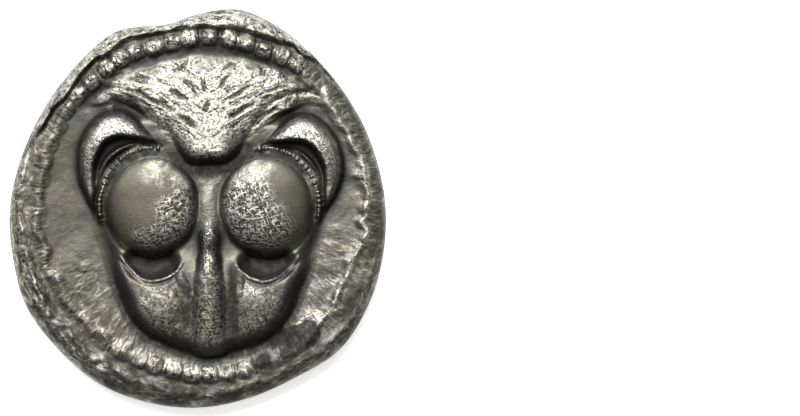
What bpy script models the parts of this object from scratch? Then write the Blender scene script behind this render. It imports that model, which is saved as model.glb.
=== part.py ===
# Struck silver drachm, one solid piece of metal.
# It lies flat: the lion's scalp looks up along +Z, crown towards +Y, and the seated figure is underneath.
# Carving is in die units, where 1 is the radius of the die's border, and heights are shares of the relief.

import math

import bmesh
import bpy
import numpy as np

# Driving sizes, in metres
FLAN_LENGTH = 0.0190
FLAN_WIDTH = 0.01795
FIELD_THICKNESS = 0.00086
EDGE_ROUNDING = 0.00085

OBVERSE_DIE_RADIUS = 0.0081
OBVERSE_DIE_OFFSET = (0.00038, 0.00012)
OBVERSE_DISH = 0.00020
OBVERSE_RIM_RISE = 0.00046
MASK_RELIEF = 0.00156
BEAD_DIAMETER = 0.00074
BEAD_RISE = 0.00022
BEAD_COUNT = 57
# Radius of the ring of beads, in die units
BEAD_CIRCLE = 0.984

REVERSE_DIE_RADIUS = 0.0081
REVERSE_DIE_OFFSET = (-0.00088, 0.00039)
REVERSE_DISH = 0.00042
FIGURE_RELIEF = 0.00040
STROKE_RELIEF = 0.00012

# Dents and swells that hammering and wear left in both fields
UNEVEN_DEPTH = 0.00004
UNEVEN_PITCH = 0.0031
# Each wave's direction in radians, length in pitches and share of the depth
UNEVEN_WAVES = [(0.4, 1.3, 0.30), (1.7, 1.0, 0.25), (2.9, 0.7, 0.20), (1.1, 0.53, 0.15), (2.2, 0.41, 0.10)]

# Degrees from the obverse's upright to the reverse's, seen through the coin
DIE_AXIS = 93.0

# Squares along each side of the grid that covers one face, and triangles left in the finished solid
GRID_SQUARES = 160
TRIANGLES_KEPT = 9000

# Height levels above the table that the coin lies on
OBVERSE_FIELD_LEVEL = REVERSE_DISH + FIELD_THICKNESS
OBVERSE_RIM_LEVEL = OBVERSE_FIELD_LEVEL + OBVERSE_RIM_RISE
EDGE_LEVEL = OBVERSE_RIM_LEVEL / 2

# Flan's radius at each angle, in shares of its half length: fold at 78 degrees, notch at 100, flat at 150
FLAN_OUTLINE = [
    (0, 0.942), (15, 0.929), (30, 0.931), (45, 0.943), (60, 0.977), (70, 1.000), (78, 1.012),
    (85, 0.990), (92, 0.960), (100, 0.931), (107, 0.950), (115, 0.973), (125, 0.952), (135, 0.932),
    (150, 0.918), (165, 0.923), (180, 0.944), (195, 0.961), (210, 0.991), (225, 0.992), (240, 1.005),
    (255, 1.001), (270, 0.995), (285, 0.981), (300, 0.976), (315, 1.001), (330, 0.983), (345, 0.959),
]

# The mask's middle line stands this far right of the die's centre
MASK_AXIS = 0.026

# Right halves of outlines on the mask, from its middle line outwards
SCALP_OUTLINE = [
    (0, -0.905), (0.12, -0.89), (0.26, -0.845), (0.40, -0.77), (0.49, -0.66), (0.556, -0.505),
    (0.615, -0.34), (0.665, -0.17), (0.712, 0.0), (0.775, 0.14), (0.795, 0.26), (0.775, 0.385),
    (0.71, 0.50), (0.60, 0.585), (0.42, 0.62), (0.2, 0.64), (0, 0.65),
]
EAR_HOLLOW = [
    (0.664, 0.03), (0.688, 0.12), (0.688, 0.20), (0.668, 0.29), (0.62, 0.375), (0.54, 0.415),
    (0.44, 0.415), (0.33, 0.395), (0.26, 0.345), (0.30, 0.318), (0.38, 0.345), (0.46, 0.343),
    (0.55, 0.305), (0.61, 0.235), (0.642, 0.14), (0.648, 0.06),
]
EAR_OUTLINE = [
    (0.66, -0.16), (0.735, -0.06), (0.775, 0.06), (0.795, 0.20), (0.78, 0.34), (0.725, 0.46),
    (0.64, 0.545), (0.54, 0.575), (0.44, 0.535), (0.36, 0.455), (0.285, 0.345), (0.34, 0.20), (0.50, 0.0),
]
MANE_OUTLINE = [
    (0, 0.32), (0.30, 0.44), (0.52, 0.535), (0.74, 0.56), (0.74, 0.65), (0.60, 0.77), (0.36, 0.87),
    (0, 0.91),
]
TUFT_OUTLINE = [
    (0, 0.225), (0.085, 0.232), (0.145, 0.260), (0.190, 0.308), (0.230, 0.365), (0.295, 0.44),
    (0.39, 0.54), (0.50, 0.66), (0.44, 0.78), (0.20, 0.87), (0, 0.885),
]
LOWER_LID = [
    (0.16, -0.335), (0.19, -0.378), (0.24, -0.415), (0.315, -0.432), (0.40, -0.412), (0.47, -0.352),
    (0.53, -0.285),
]

# Centres and half axes of the rounded forms on the right half of the mask
BROW_SWELLING = (0.330, -0.012), (0.276, 0.294)
BROW_SADDLE = (0.0, -0.10), (0.13, 0.30)
EYE_SOCKET = (0.345, -0.335), (0.195, 0.110)
CHEEK = (0.280, -0.60), (0.215, 0.245)
FUR_COLLAR = (0.337, 0.0), (0.305, 0.338)

# Down the nose: place along the middle line, half width, height
NOSE_STATIONS = [
    (-0.08, 0.050, 0.45), (-0.13, 0.064, 0.68), (-0.185, 0.074, 0.77), (-0.235, 0.070, 0.73),
    (-0.272, 0.070, 0.68), (-0.33, 0.096, 0.80), (-0.43, 0.112, 0.90), (-0.55, 0.124, 0.96),
    (-0.68, 0.126, 0.94), (-0.78, 0.116, 0.85), (-0.83, 0.100, 0.68), (-0.87, 0.080, 0.34),
    (-0.89, 0.050, 0.0),
]
NOSE_FOLD = [(0.195, -0.37), (0.165, -0.46), (0.120, -0.58)]

# Chevron locks of the mane
LOCK_PITCH = 0.105
LOCK_LENGTH = 0.30

# Outlines on the reverse, in its own die units, seen from below with the figure upright
TORSO_OUTLINE = [
    (0.141, 0.424), (0.194, 0.488), (0.288, 0.518), (0.382, 0.512), (0.453, 0.541), (0.547, 0.524),
    (0.641, 0.441), (0.688, 0.353), (0.671, 0.294), (0.624, 0.235), (0.547, 0.206), (0.476, 0.171),
    (0.418, 0.153), (0.324, 0.171), (0.247, 0.229), (0.182, 0.294), (0.135, 0.353),
]
BELLY_OUTLINE = [
    (0.253, 0.188), (0.441, 0.176), (0.488, 0.106), (0.471, 0.012), (0.412, -0.076), (0.294, -0.059),
    (0.235, 0.059),
]
LAP_OUTLINE = [
    (0.024, 0.094), (0.147, 0.129), (0.276, 0.071), (0.412, -0.059), (0.488, -0.206), (0.429, -0.335),
    (0.147, -0.324), (0.006, -0.324), (-0.088, -0.388), (-0.135, -0.341), (-0.088, -0.188),
    (-0.041, -0.029),
]
ROBE_OUTLINE = [
    (-0.112, -0.294), (0.006, -0.329), (0.076, -0.365), (0.076, -0.471), (0.112, -0.588),
    (0.088, -0.629), (0.0, -0.594), (-0.088, -0.624), (-0.176, -0.576), (-0.265, -0.618),
    (-0.347, -0.582), (-0.324, -0.471), (-0.259, -0.365), (-0.188, -0.306),
]

# Limbs and stool on the reverse: points, half widths, heights
FIGURE_BARS = [
    ([(0.171, 0.394), (0.065, 0.300), (-0.047, 0.218)], (0.047, 0.041, 0.038), (0.82, 0.70, 0.65)),
    ([(-0.053, 0.206), (-0.065, 0.353), (-0.041, 0.518), (-0.024, 0.624)], (0.038, 0.035, 0.032, 0.029),
     (0.70, 0.65, 0.60, 0.55)),
    ([(0.635, 0.353), (0.724, 0.224), (0.788, 0.094)], (0.047, 0.047, 0.044), (0.90, 0.80, 0.75)),
    ([(0.794, 0.088), (0.618, -0.006), (0.418, -0.082)], (0.044, 0.047, 0.035), (0.75, 0.80, 0.60)),
    ([(-0.353, -0.624), (-0.359, -0.694), (-0.394, -0.741)], (0.032, 0.029, 0.018), (0.50, 0.55, 0.30)),
    ([(-0.112, -0.600), (-0.112, -0.765), (-0.112, -0.865)], (0.041, 0.041, 0.047), (0.55, 0.55, 0.50)),
    ([(0.076, -0.624), (0.141, -0.718), (0.206, -0.771)], (0.026, 0.029, 0.024), (0.50, 0.55, 0.35)),
    ([(0.471, -0.430), (0.465, -0.560), (0.471, -0.700)], (0.040, 0.022, 0.030), (0.50, 0.38, 0.34)),
    ([(0.559, 0.576), (0.665, 0.512), (0.794, 0.459), (0.929, 0.529)], (0.029, 0.041, 0.035, 0.024),
     (0.40, 0.50, 0.40, 0.25)),
    ([(0.676, 0.424), (0.782, 0.365), (0.865, 0.353)], (0.029, 0.035, 0.024), (0.40, 0.40, 0.25)),
    ([(-0.912, 0.200), (-0.829, 0.159), (-0.735, 0.206)], (0.035, 0.047, 0.030), (0.50, 0.60, 0.40)),
    ([(-0.823, 0.353), (-0.741, 0.347)], (0.035, 0.041), (0.40, 0.50)),
]

# Round lumps on the reverse, each with its centre, half axes and height: the head's own four (skull, cap of
# hair, nose and chin), then the raised hand and the stool's corner
FIGURE_KNOBS = [
    ((0.365, 0.645), (0.085, 0.105), 0.90),
    ((0.395, 0.665), (0.080, 0.085), 1.00),
    ((0.283, 0.635), (0.016, 0.022), 0.60),
    ((0.312, 0.568), (0.035, 0.030), 0.75),
    ((-0.024, 0.665), (0.053, 0.059), 0.65),
    ((0.465, -0.288), (0.059, 0.076), 0.90),
]

# Ridges of cloth over the lap and down the robe
DRAPERY_FOLDS = [
    [(-0.06, 0.03), (0.12, -0.06), (0.30, -0.20)],
    [(-0.10, -0.14), (0.08, -0.20), (0.24, -0.28)],
    [(-0.03, -0.34), (-0.06, -0.46), (-0.04, -0.57)],
    [(-0.14, -0.35), (-0.19, -0.46), (-0.20, -0.56)],
    [(0.22, 0.44), (0.36, 0.33), (0.46, 0.24)],
    [(0.30, 0.49), (0.45, 0.40), (0.56, 0.28)],
]

# Short shallow strokes that stand where the worn legend was
LEGEND_STROKES = [
    [(-0.412, 0.300), (-0.353, 0.235), (-0.282, 0.212)],
    [(-0.488, -0.165), (-0.435, -0.224)],
    [(-0.518, -0.424), (-0.441, -0.453)],
    [(-0.188, 0.071), (-0.153, -0.071)],
]
LEGEND_STROKE_WIDTH = 0.024

SILVER_COLOUR = (0.42, 0.41, 0.37, 1.0)
SILVER_ROUGHNESS = 0.42


def ease(t):
    """Smooth step from 0 to 1."""
    t = np.clip(t, 0.0, 1.0)
    return t * t * (3.0 - 2.0 * t)


def dome(q):
    """Half circle: 1 where q is 0, and 0 from q = 1 on."""
    q = np.clip(q, -1.0, 1.0)
    return np.sqrt(1.0 - q * q)


def join(a, b, fillet):
    """The higher of two surfaces, with a fillet where they cross."""
    t = np.clip(0.5 + 0.5 * (a - b) / fillet, 0.0, 1.0)
    return b + (a - b) * t + fillet * t * (1.0 - t)


def ellipse(x, y, form, turn=0.0):
    """0 at the form's centre and 1 on its outline."""
    (cx, cy), (rx, ry) = form
    c = math.cos(math.radians(turn))
    s = math.sin(math.radians(turn))
    return np.hypot(((x - cx) * c + (y - cy) * s) / rx, ((y - cy) * c - (x - cx) * s) / ry)


def spline(points, closed, per_span=4):
    """Catmull-Rom curve through rows of numbers."""
    p = np.array(points, float)
    first, last = (p[-1:], p[:2]) if closed else (p[:1], p[-1:])
    q = np.vstack([first, p, last])
    t = np.linspace(0.0, 1.0, per_span, endpoint=False)[:, None]
    rows = []
    for a, b, c, d in zip(q, q[1:], q[2:], q[3:]):
        cubic = (3 * b - a - 3 * c + d) * t + (2 * a - 5 * b + 4 * c - d)
        rows.append(0.5 * ((cubic * t + (c - a)) * t + 2 * b))
    if not closed:
        rows.append(p[-1:])
    return np.vstack(rows)


def depth_inside(x, y, outline):
    """Distance to a closed outline, positive inside it."""
    nearest = np.full(x.shape, np.inf)
    inside = np.zeros(x.shape, bool)
    for (x0, y0), (x1, y1) in zip(outline, np.roll(outline, -1, axis=0)):
        dx, dy = x1 - x0, y1 - y0
        t = np.clip(((x - x0) * dx + (y - y0) * dy) / (dx * dx + dy * dy), 0.0, 1.0)
        nearest = np.minimum(nearest, np.hypot(x - x0 - t * dx, y - y0 - t * dy))
        if y1 != y0:
            inside ^= ((y0 > y) != (y1 > y)) & (x < x0 + (y - y0) / dy * dx)
    return np.where(inside, nearest, -nearest)


def bar(x, y, stations):
    """Half-round bar along rows of x, y, half width and height."""
    tallest = np.zeros(x.shape)
    for (x0, y0, w0, h0), (x1, y1, w1, h1) in zip(stations, stations[1:]):
        dx, dy = x1 - x0, y1 - y0
        t = np.clip(((x - x0) * dx + (y - y0) * dy) / (dx * dx + dy * dy), 0.0, 1.0)
        across = np.hypot(x - x0 - t * dx, y - y0 - t * dy) / (w0 + (w1 - w0) * t)
        tallest = np.maximum(tallest, (h0 + (h1 - h0) * t) * dome(across))
    return tallest


def slab(x, y, outline, height, rounding):
    """Flat-topped form whose edge is a quarter round."""
    depth = depth_inside(x, y, spline(outline, closed=True))
    return np.where(depth > 0, height * dome(1.0 - np.clip(depth / rounding, 0.0, 1.0)), 0.0)


def both_halves(half):
    """Closed outline from its right half, which may start and end on the middle line."""
    return half + [(-x, y) for x, y in reversed(half) if x > 0]


def fur_locks(side_x, y, right):
    """Leaf-shaped locks in chevrons that flatten towards the ears, about 0, in shares of a lock's height."""
    row = (y - 0.72 * side_x + 0.44 * side_x ** 2) / LOCK_PITCH + 0.35 * right
    number = np.floor(row)
    along = side_x / LOCK_LENGTH + 0.57 * (number % 2)
    taper = 0.35 + 0.65 * np.sin(np.pi * (along - np.floor(along))) ** 0.6
    return dome(2.0 * (row - number) - 1.0) * taper - 0.75


def crown(x, y):
    """Mane and forehead tuft, and how far inside the mane each point is."""
    side_x = np.abs(x)
    in_mane = depth_inside(x, y, spline(both_halves(MANE_OUTLINE), closed=True))
    in_tuft = depth_inside(x, y, spline(both_halves(TUFT_OUTLINE), closed=True))
    mane = (0.28 + 0.10 * ease((0.66 - y) / 0.3)) * ease(in_mane / 0.14)
    # The tuft is one slope that climbs to its tip and is cut off steeply there
    crest = 0.98 - 1.10 * np.clip(y - 0.27, 0.0, 0.60)
    shoulder = 0.07 + 0.19 * ease((y - 0.28) / 0.20)
    tuft = np.where(in_tuft > 0, crest * dome(1.0 - np.clip(in_tuft / shoulder, 0.0, 1.0)), 0.0)
    furred = ease(in_mane / 0.04) * (0.15 + 0.85 * ease((y - 0.34) / 0.14))
    height = join(mane, tuft, 0.09) + 0.10 * furred * fur_locks(side_x, y, x > 0)
    return np.where(np.maximum(in_mane, in_tuft) > 0, height, 0.0)


def lion_scalp(x, y):
    """The facing scalp, in shares of the mask's relief above the field."""
    side_x = np.abs(x)
    # The right ear sits a little lower than the left
    ear_y = y + np.where(x > 0, 0.022, 0.0) * ease((y + 0.05) / 0.25) * (1.0 - ease((y - 0.55) / 0.1))

    inside = depth_inside(x, ear_y, spline(both_halves(SCALP_OUTLINE), closed=True))
    below_mane = 1.0 - ease((ear_y - 0.47) / 0.12)
    low = ease((-0.25 - y) / 0.20)
    wall = (0.42 + 0.22 * low) * ease(inside / (0.14 - 0.02 * low))
    face = wall * (0.25 + 0.75 * below_mane)

    # Each ear is a broad lip, highest beside its hollow, that slopes gently outwards and then drops
    hollow = depth_inside(side_x, ear_y, spline(EAR_HOLLOW, closed=True))
    collar_reach = ellipse(side_x, y, FUR_COLLAR)
    in_ear = depth_inside(side_x, ear_y, spline(EAR_OUTLINE, closed=True))
    lip = 0.58 + 0.22 * ease((ear_y - 0.10) / 0.28) - 1.7 * np.clip(-hollow - 0.02, 0.0, 1.0)
    lip = lip * dome(1.0 - np.clip(in_ear / 0.055, 0.0, 1.0)) * ease((collar_reach - 1.06) / 0.08)
    face = join(face, lip * ease((ear_y + 0.16) / 0.24), 0.05)

    face = join(face, 0.60 * dome(ellipse(side_x, y, BROW_SADDLE)), 0.08)
    face = join(face, 0.84 * dome(ellipse(side_x, y, CHEEK, -20.0)) * ease(inside / 0.10), 0.16)
    socket = 1.0 - ease((ellipse(side_x, y, EYE_SOCKET) - 0.60) / 0.45)
    face = face * (1.0 - socket) + np.minimum(face, 0.10) * socket

    in_hollow = ease((hollow + 0.006) / 0.028)
    face = face * (1.0 - in_hollow) + 0.08 * in_hollow

    (cx, cy), _ = FUR_COLLAR
    around = np.degrees(np.arctan2(y - cy, side_x - cx))
    outer_part = ease((around + 30.0) / 25.0) * (1.0 - ease((around - 95.0) / 30.0))
    collar = 0.46 * dome((collar_reach - 1.0) / 0.075) * outer_part
    face = np.maximum(face, collar)

    # Each swelling leans so that its lower inner side stands highest, and meets the brow without a groove
    reach = ellipse(side_x, y, BROW_SWELLING, 8.0)
    inner = ease((0.24 - side_x) / 0.14)
    lean = 1.0 - 0.50 * (side_x - BROW_SWELLING[0][0]) - 0.30 * y
    base = 0.14 + 0.26 * np.maximum(ease((y + 0.10) / 0.25), 0.8 * inner)
    swelling = base + (0.80 - base) * dome(np.clip(reach, 0.0, 1.0) ** 1.4) * lean
    face = join(face, np.where(reach < 1.0, swelling, 0.0), 0.04 + 0.06 * inner)

    lid_line = spline(LOWER_LID, closed=False)
    taper = np.sin(np.linspace(0.12, 0.95, len(lid_line)) * math.pi) ** 0.5
    face = face + bar(side_x, y, np.column_stack([lid_line, 0.024 * taper, 0.13 * taper]))

    place, width, height = spline(NOSE_STATIONS[::-1], closed=False).T
    nose = np.interp(y, place, height, 0.0, 0.0) * dome((side_x / np.interp(y, place, width)) ** 1.15)
    face = join(face, nose, 0.04 + 0.06 * ease((y + 0.36) / 0.06))
    face = face + bar(side_x, y, [(*point, 0.024, 0.09) for point in NOSE_FOLD])

    return join(face * ease(inside / 0.05), crown(x, y), 0.03)


def bead_ring(u, v):
    """Half-round beads on the die's circle: sharp over the crown, worn below, flat or off the flan elsewhere."""
    turn = np.arctan2(v, u)
    out = np.hypot(u, v) / BEAD_CIRCLE
    step = 2.0 * math.pi / BEAD_COUNT
    sideways = (turn / step - np.round(turn / step)) * step * out
    half_width = BEAD_DIAMETER / 2 / OBVERSE_DIE_RADIUS
    degrees = np.degrees(turn) % 360.0
    top_left = ease((degrees - 50.0) / 15.0) * (1.0 - ease((degrees - 165.0) / 20.0))
    bottom = 0.75 * ease((degrees - 215.0) / 15.0) * (1.0 - ease((degrees - 285.0) / 10.0))
    return dome(np.hypot(sideways, out - 1.0) / half_width) * np.clip(top_left + bottom + 0.12, 0.0, 1.0)


def unevenness(x, y, phase):
    """Swaying waves whose lengths don't fit together, so that they never repeat across the coin."""
    total = np.zeros(x.shape)
    for turn, length, share in UNEVEN_WAVES:
        across = (x * math.cos(turn) + y * math.sin(turn)) / UNEVEN_PITCH / length
        sway = (y * math.cos(turn) - x * math.sin(turn)) / UNEVEN_PITCH
        total = total + share * np.sin(2.0 * math.pi * across + 1.6 * np.sin(3.0 * sway + phase) + phase)
    return UNEVEN_DEPTH * total


def obverse_height(x, y):
    """Top surface above the obverse field's level, before the edge rounds it over."""
    u = (x - OBVERSE_DIE_OFFSET[0]) / OBVERSE_DIE_RADIUS
    v = (y - OBVERSE_DIE_OFFSET[1]) / OBVERSE_DIE_RADIUS
    out = np.hypot(u, v)
    field = OBVERSE_DISH * np.minimum(out, 1.0) ** 2.5 + unevenness(x, y, 0.0)
    height = join(field, MASK_RELIEF * lion_scalp(u - MASK_AXIS, v), OBVERSE_DISH / 4)
    height = height + BEAD_RISE * bead_ring(u, v)
    # The rim is a hammered fold: taller over the crown, and uneven all round
    turn = np.arctan2(v, u)
    uneven = 0.86 + 0.14 * np.sin(turn) + 0.07 * np.sin(5.0 * turn + 1.0) + 0.05 * np.sin(11.0 * turn)
    rim = ease((out - 1.040 - 0.012 * np.sin(7.0 * turn)) / 0.06)
    return height * (1.0 - rim) + OBVERSE_RIM_RISE * uneven * rim


def seated_figure(s, t):
    """The seated figure, its staff, stool and robe, in shares of the figure's relief."""
    forms = [
        slab(s, t, LAP_OUTLINE, 0.80, 0.16),
        slab(s, t, ROBE_OUTLINE, 0.62, 0.13),
        slab(s, t, BELLY_OUTLINE, 0.65, 0.13),
        slab(s, t, TORSO_OUTLINE, 1.00, 0.17),
    ]
    for points, widths, heights in FIGURE_BARS:
        forms.append(bar(s, t, spline(np.column_stack([points, widths, heights]), closed=False)))
    for centre, radii, height in FIGURE_KNOBS:
        forms.append(height * dome(ellipse(s, t, (centre, radii))))
    figure = np.zeros(s.shape)
    for form in forms:
        figure = join(figure, form, 0.05)
    for points in DRAPERY_FOLDS:
        figure = figure + bar(s, t, [(*point, 0.026, 0.16) for point in points])
    return figure


def reverse_height(x, y):
    """Bottom surface above the reverse field's level, towards the table, before the edge rounds it over."""
    c = math.cos(math.radians(DIE_AXIS))
    s = math.sin(math.radians(DIE_AXIS))
    right = (x * c + y * s - REVERSE_DIE_OFFSET[0]) / REVERSE_DIE_RADIUS
    up = (x * s - y * c - REVERSE_DIE_OFFSET[1]) / REVERSE_DIE_RADIUS
    out = np.hypot(right, up)
    strokes = np.zeros(x.shape)
    for points in LEGEND_STROKES:
        stations = [(*point, LEGEND_STROKE_WIDTH, 1.0) for point in points]
        strokes = np.maximum(strokes, bar(right, up, stations))
    field = 0.4 * REVERSE_DISH * np.minimum(out, 1.0) ** 2.5 + unevenness(x, y, 2.0)
    height = field + FIGURE_RELIEF * seated_figure(right, up) + STROKE_RELIEF * strokes
    rim = ease((out - 0.80) / 0.18)
    # Wear has planed the rim and the highest relief down to one level, on which the coin lies
    return np.minimum(height * (1.0 - rim) + 1.1 * REVERSE_DISH * rim, REVERSE_DISH)


def flan_radius(angle):
    """Outline's radius in each direction, in shares of the half length, from a curve through FLAN_OUTLINE."""
    degrees, radii = np.array(FLAN_OUTLINE, float).T
    degrees = np.append(degrees, 360.0)
    here = np.degrees(angle) % 360.0
    k = np.clip(np.searchsorted(degrees, here, side="right") - 1, 0, len(radii) - 1)
    t = (here - degrees[k]) / (degrees[k + 1] - degrees[k])
    a, b, c, d = (np.roll(radii, shift)[k] for shift in (1, 0, -1, -2))
    cubic = (3 * b - a - 3 * c + d) * t + (2 * a - 5 * b + 4 * c - d)
    return 0.5 * ((cubic * t + (c - a)) * t + 2 * b)


def flan_plan(gx, gy):
    """Square grid of -1 to 1 spread over the flan: x, y and the distance in from the edge, in metres."""
    disc_x = gx * np.sqrt(1.0 - gy * gy / 2.0)
    disc_y = gy * np.sqrt(1.0 - gx * gx / 2.0)
    angle = np.arctan2(disc_y, disc_x)
    # Rings crowd together towards the edge, where the surface turns over
    ring = np.hypot(disc_x, disc_y)
    share = 0.75 * ring + 0.25 * np.sin(math.pi / 2 * ring)

    turn = np.linspace(0.0, 2.0 * math.pi, 720, endpoint=False)
    edge_x = flan_radius(turn) * np.cos(turn)
    edge_y = flan_radius(turn) * np.sin(turn)
    scale_x = FLAN_WIDTH / np.ptp(edge_x)
    scale_y = FLAN_LENGTH / np.ptp(edge_y)
    middle_x = (edge_x.max() + edge_x.min()) / 2
    middle_y = (edge_y.max() + edge_y.min()) / 2

    radius = flan_radius(angle)
    x = (share * radius * np.cos(angle) - middle_x) * scale_x
    y = (share * radius * np.sin(angle) - middle_y) * scale_y
    inset = (1.0 - share) * radius * np.hypot(scale_x * np.cos(angle), scale_y * np.sin(angle))
    return x, y, inset


def build_grids():
    """Two square grids, one facing up and one facing down, half a unit above and below the middle."""
    bm = bmesh.new()
    bmesh.ops.create_grid(bm, x_segments=GRID_SQUARES, y_segments=GRID_SQUARES, size=1.0)
    bmesh.ops.translate(bm, verts=bm.verts, vec=(0.0, 0.0, 0.5))
    copied = bmesh.ops.duplicate(bm, geom=bm.verts[:] + bm.edges[:] + bm.faces[:])["geom"]
    under = [item for item in copied if isinstance(item, bmesh.types.BMVert)]
    bmesh.ops.translate(bm, verts=under, vec=(0.0, 0.0, -1.0))
    bmesh.ops.reverse_faces(bm, faces=[item for item in copied if isinstance(item, bmesh.types.BMFace)])
    mesh = bpy.data.meshes.new("drachm")
    bm.to_mesh(mesh)
    bm.free()
    return mesh


def strike(mesh):
    """Moves the two grids' vertices onto the coin's faces, and welds them along its edge."""
    places = np.empty(len(mesh.vertices) * 3)
    mesh.vertices.foreach_get("co", places)
    gx, gy, gz = places.reshape(-1, 3).T
    x, y, inset = flan_plan(gx, gy)
    rounding = dome(1.0 - np.clip(inset / EDGE_ROUNDING, 0.0, 1.0))
    top = OBVERSE_FIELD_LEVEL + obverse_height(x, y)
    bottom = REVERSE_DISH - reverse_height(x, y)
    z = EDGE_LEVEL + (np.where(gz > 0, top, bottom) - EDGE_LEVEL) * rounding
    mesh.vertices.foreach_set("co", np.column_stack([x, y, z]).ravel())

    bm = bmesh.new()
    bm.from_mesh(mesh)
    rim = [vertex for vertex in bm.verts if vertex.is_boundary]
    bmesh.ops.remove_doubles(bm, verts=rim, dist=1e-6)
    bmesh.ops.recalc_face_normals(bm, faces=bm.faces)
    bm.to_mesh(mesh)
    bm.free()


def silver_material():
    material = bpy.data.materials.new("toned silver")
    material.use_nodes = True
    shader = material.node_tree.nodes["Principled BSDF"]
    shader.inputs["Base Color"].default_value = SILVER_COLOUR
    shader.inputs["Metallic"].default_value = 1.0
    shader.inputs["Roughness"].default_value = SILVER_ROUGHNESS
    return material


def main():
    for old in list(bpy.data.objects):
        bpy.data.objects.remove(old)
    collection = bpy.data.collections.new("drachm coin")
    bpy.context.scene.collection.children.link(collection)

    mesh = build_grids()
    strike(mesh)
    mesh.materials.append(silver_material())
    mesh.shade_smooth()
    coin = bpy.data.objects.new("coin", mesh)
    collection.objects.link(coin)

    softening = coin.modifiers.new("worn edges", "SMOOTH")
    softening.factor = 0.5
    softening.iterations = 2
    thinning = coin.modifiers.new("fewer triangles", "DECIMATE")
    thinning.ratio = TRIANGLES_KEPT / (2 * len(mesh.polygons))


main()
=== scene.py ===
# Struck silver drachm, lying with the lion's scalp up on a pale studio floor, seen from straight above
import math

import bpy
import numpy as np
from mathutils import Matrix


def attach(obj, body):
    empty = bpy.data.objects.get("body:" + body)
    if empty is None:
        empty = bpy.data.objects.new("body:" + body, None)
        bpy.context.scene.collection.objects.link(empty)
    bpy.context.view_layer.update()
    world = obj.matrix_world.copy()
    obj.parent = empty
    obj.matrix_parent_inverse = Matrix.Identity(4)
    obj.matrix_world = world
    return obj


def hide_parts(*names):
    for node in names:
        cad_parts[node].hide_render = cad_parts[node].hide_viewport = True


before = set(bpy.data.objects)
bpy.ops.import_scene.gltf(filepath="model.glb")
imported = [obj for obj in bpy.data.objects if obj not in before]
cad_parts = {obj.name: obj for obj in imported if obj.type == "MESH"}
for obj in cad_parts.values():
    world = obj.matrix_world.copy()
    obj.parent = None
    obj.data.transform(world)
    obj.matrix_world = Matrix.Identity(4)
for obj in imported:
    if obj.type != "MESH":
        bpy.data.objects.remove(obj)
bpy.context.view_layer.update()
print("packed coin loaded")

# The coin: sizes in millimetres, angles in degrees
coinLook = {
    "length": 19.0,
    "width": 17.95,
    "fieldThickness": 0.86,
    "edgeRounding": 0.95,
    "obverseDieRadius": 8.1,
    "obverseDieOffset": (0.38, 0.12),
    "obverseDish": 0.20,
    "obverseRimRise": 0.46,
    "maskRelief": 1.56,
    "beadDiameter": 0.90,
    "beadRise": 0.18,
    "beadCount": 57,
    "beadCircle": 0.984,
    "reverseDieRadius": 8.1,
    "reverseDieOffset": (-0.88, 0.39),
    "reverseDish": 0.42,
    "figureRelief": 0.40,
    "strokeRelief": 0.12,
    "dieAxis": 93.0,
    "unevenDepth": 0.04,
    "unevenPitch": 3.1,
    "flowRise": 0.010,
    "fieldRoughness": 0.010,
    "rippleRise": 0.022,
    "ridgeRise": 0.11,
    "troughDepth": 0.08,
    "rimLumps": 0.085,
    "rimFolds": 0.045,
    "skinRoughness": 0.014,
    "skinGrain": 0.012,
    "scuffRise": 0.026,
    "pitting": 0.034,
    "cutDepth": 0.10,
    "nearHollow": (0.14, 0.05),
    "wideHollow": (0.60, 0.30),
    "steepSlope": (0.45, 1.20),
    "upperSquares": 280,
    "lowerSquares": 140,
}

# Radius of the flan's outline at each angle, in shares of its half length
flanOutline = [
    (0, 0.942), (15, 0.929), (30, 0.931), (45, 0.943), (60, 0.977), (70, 1.000), (78, 1.012),
    (85, 0.990), (92, 0.960), (100, 0.931), (107, 0.950), (115, 0.973), (125, 0.952), (135, 0.932),
    (150, 0.918), (165, 0.923), (180, 0.944), (195, 0.961), (210, 0.991), (225, 0.992), (240, 1.005),
    (255, 1.001), (270, 0.995), (285, 0.981), (300, 0.976), (315, 1.001), (330, 0.983), (345, 0.959),
]
# Broad waves in the fields: direction in radians, length in pitches, share of the depth
unevenWaves = [(0.4, 1.3, 0.30), (1.7, 1.0, 0.25), (2.9, 0.7, 0.20), (1.1, 0.53, 0.15), (2.2, 0.41, 0.10)]

# Carving is in die units: 1 is the radius of the die's border, just outside the ring of beads. Outlines here
# are right halves.
maskAxis = 0.026
scalpOutline = [
    (0, -0.905), (0.12, -0.89), (0.26, -0.845), (0.40, -0.77), (0.49, -0.66), (0.556, -0.505),
    (0.615, -0.34), (0.665, -0.17), (0.712, 0.0), (0.775, 0.14), (0.795, 0.26), (0.775, 0.385),
    (0.71, 0.50), (0.60, 0.585), (0.42, 0.62), (0.2, 0.64), (0, 0.65),
]
earHollow = [
    (0.664, 0.03), (0.688, 0.12), (0.688, 0.20), (0.668, 0.29), (0.62, 0.375), (0.54, 0.415),
    (0.44, 0.415), (0.33, 0.395), (0.26, 0.345), (0.30, 0.318), (0.38, 0.345), (0.46, 0.343),
    (0.55, 0.305), (0.61, 0.235), (0.642, 0.14), (0.648, 0.06),
]
earOutline = [
    (0.66, -0.16), (0.735, -0.06), (0.775, 0.06), (0.795, 0.20), (0.78, 0.34), (0.725, 0.46), (0.64, 0.545),
    (0.54, 0.575), (0.44, 0.535), (0.36, 0.455), (0.285, 0.345), (0.34, 0.20), (0.50, 0.0),
]
maneOutline = [
    (0, 0.30), (0.25, 0.36), (0.35, 0.44), (0.44, 0.52), (0.54, 0.555), (0.66, 0.54), (0.79, 0.52),
    (0.77, 0.66), (0.62, 0.78), (0.36, 0.87), (0, 0.91),
]
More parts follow.
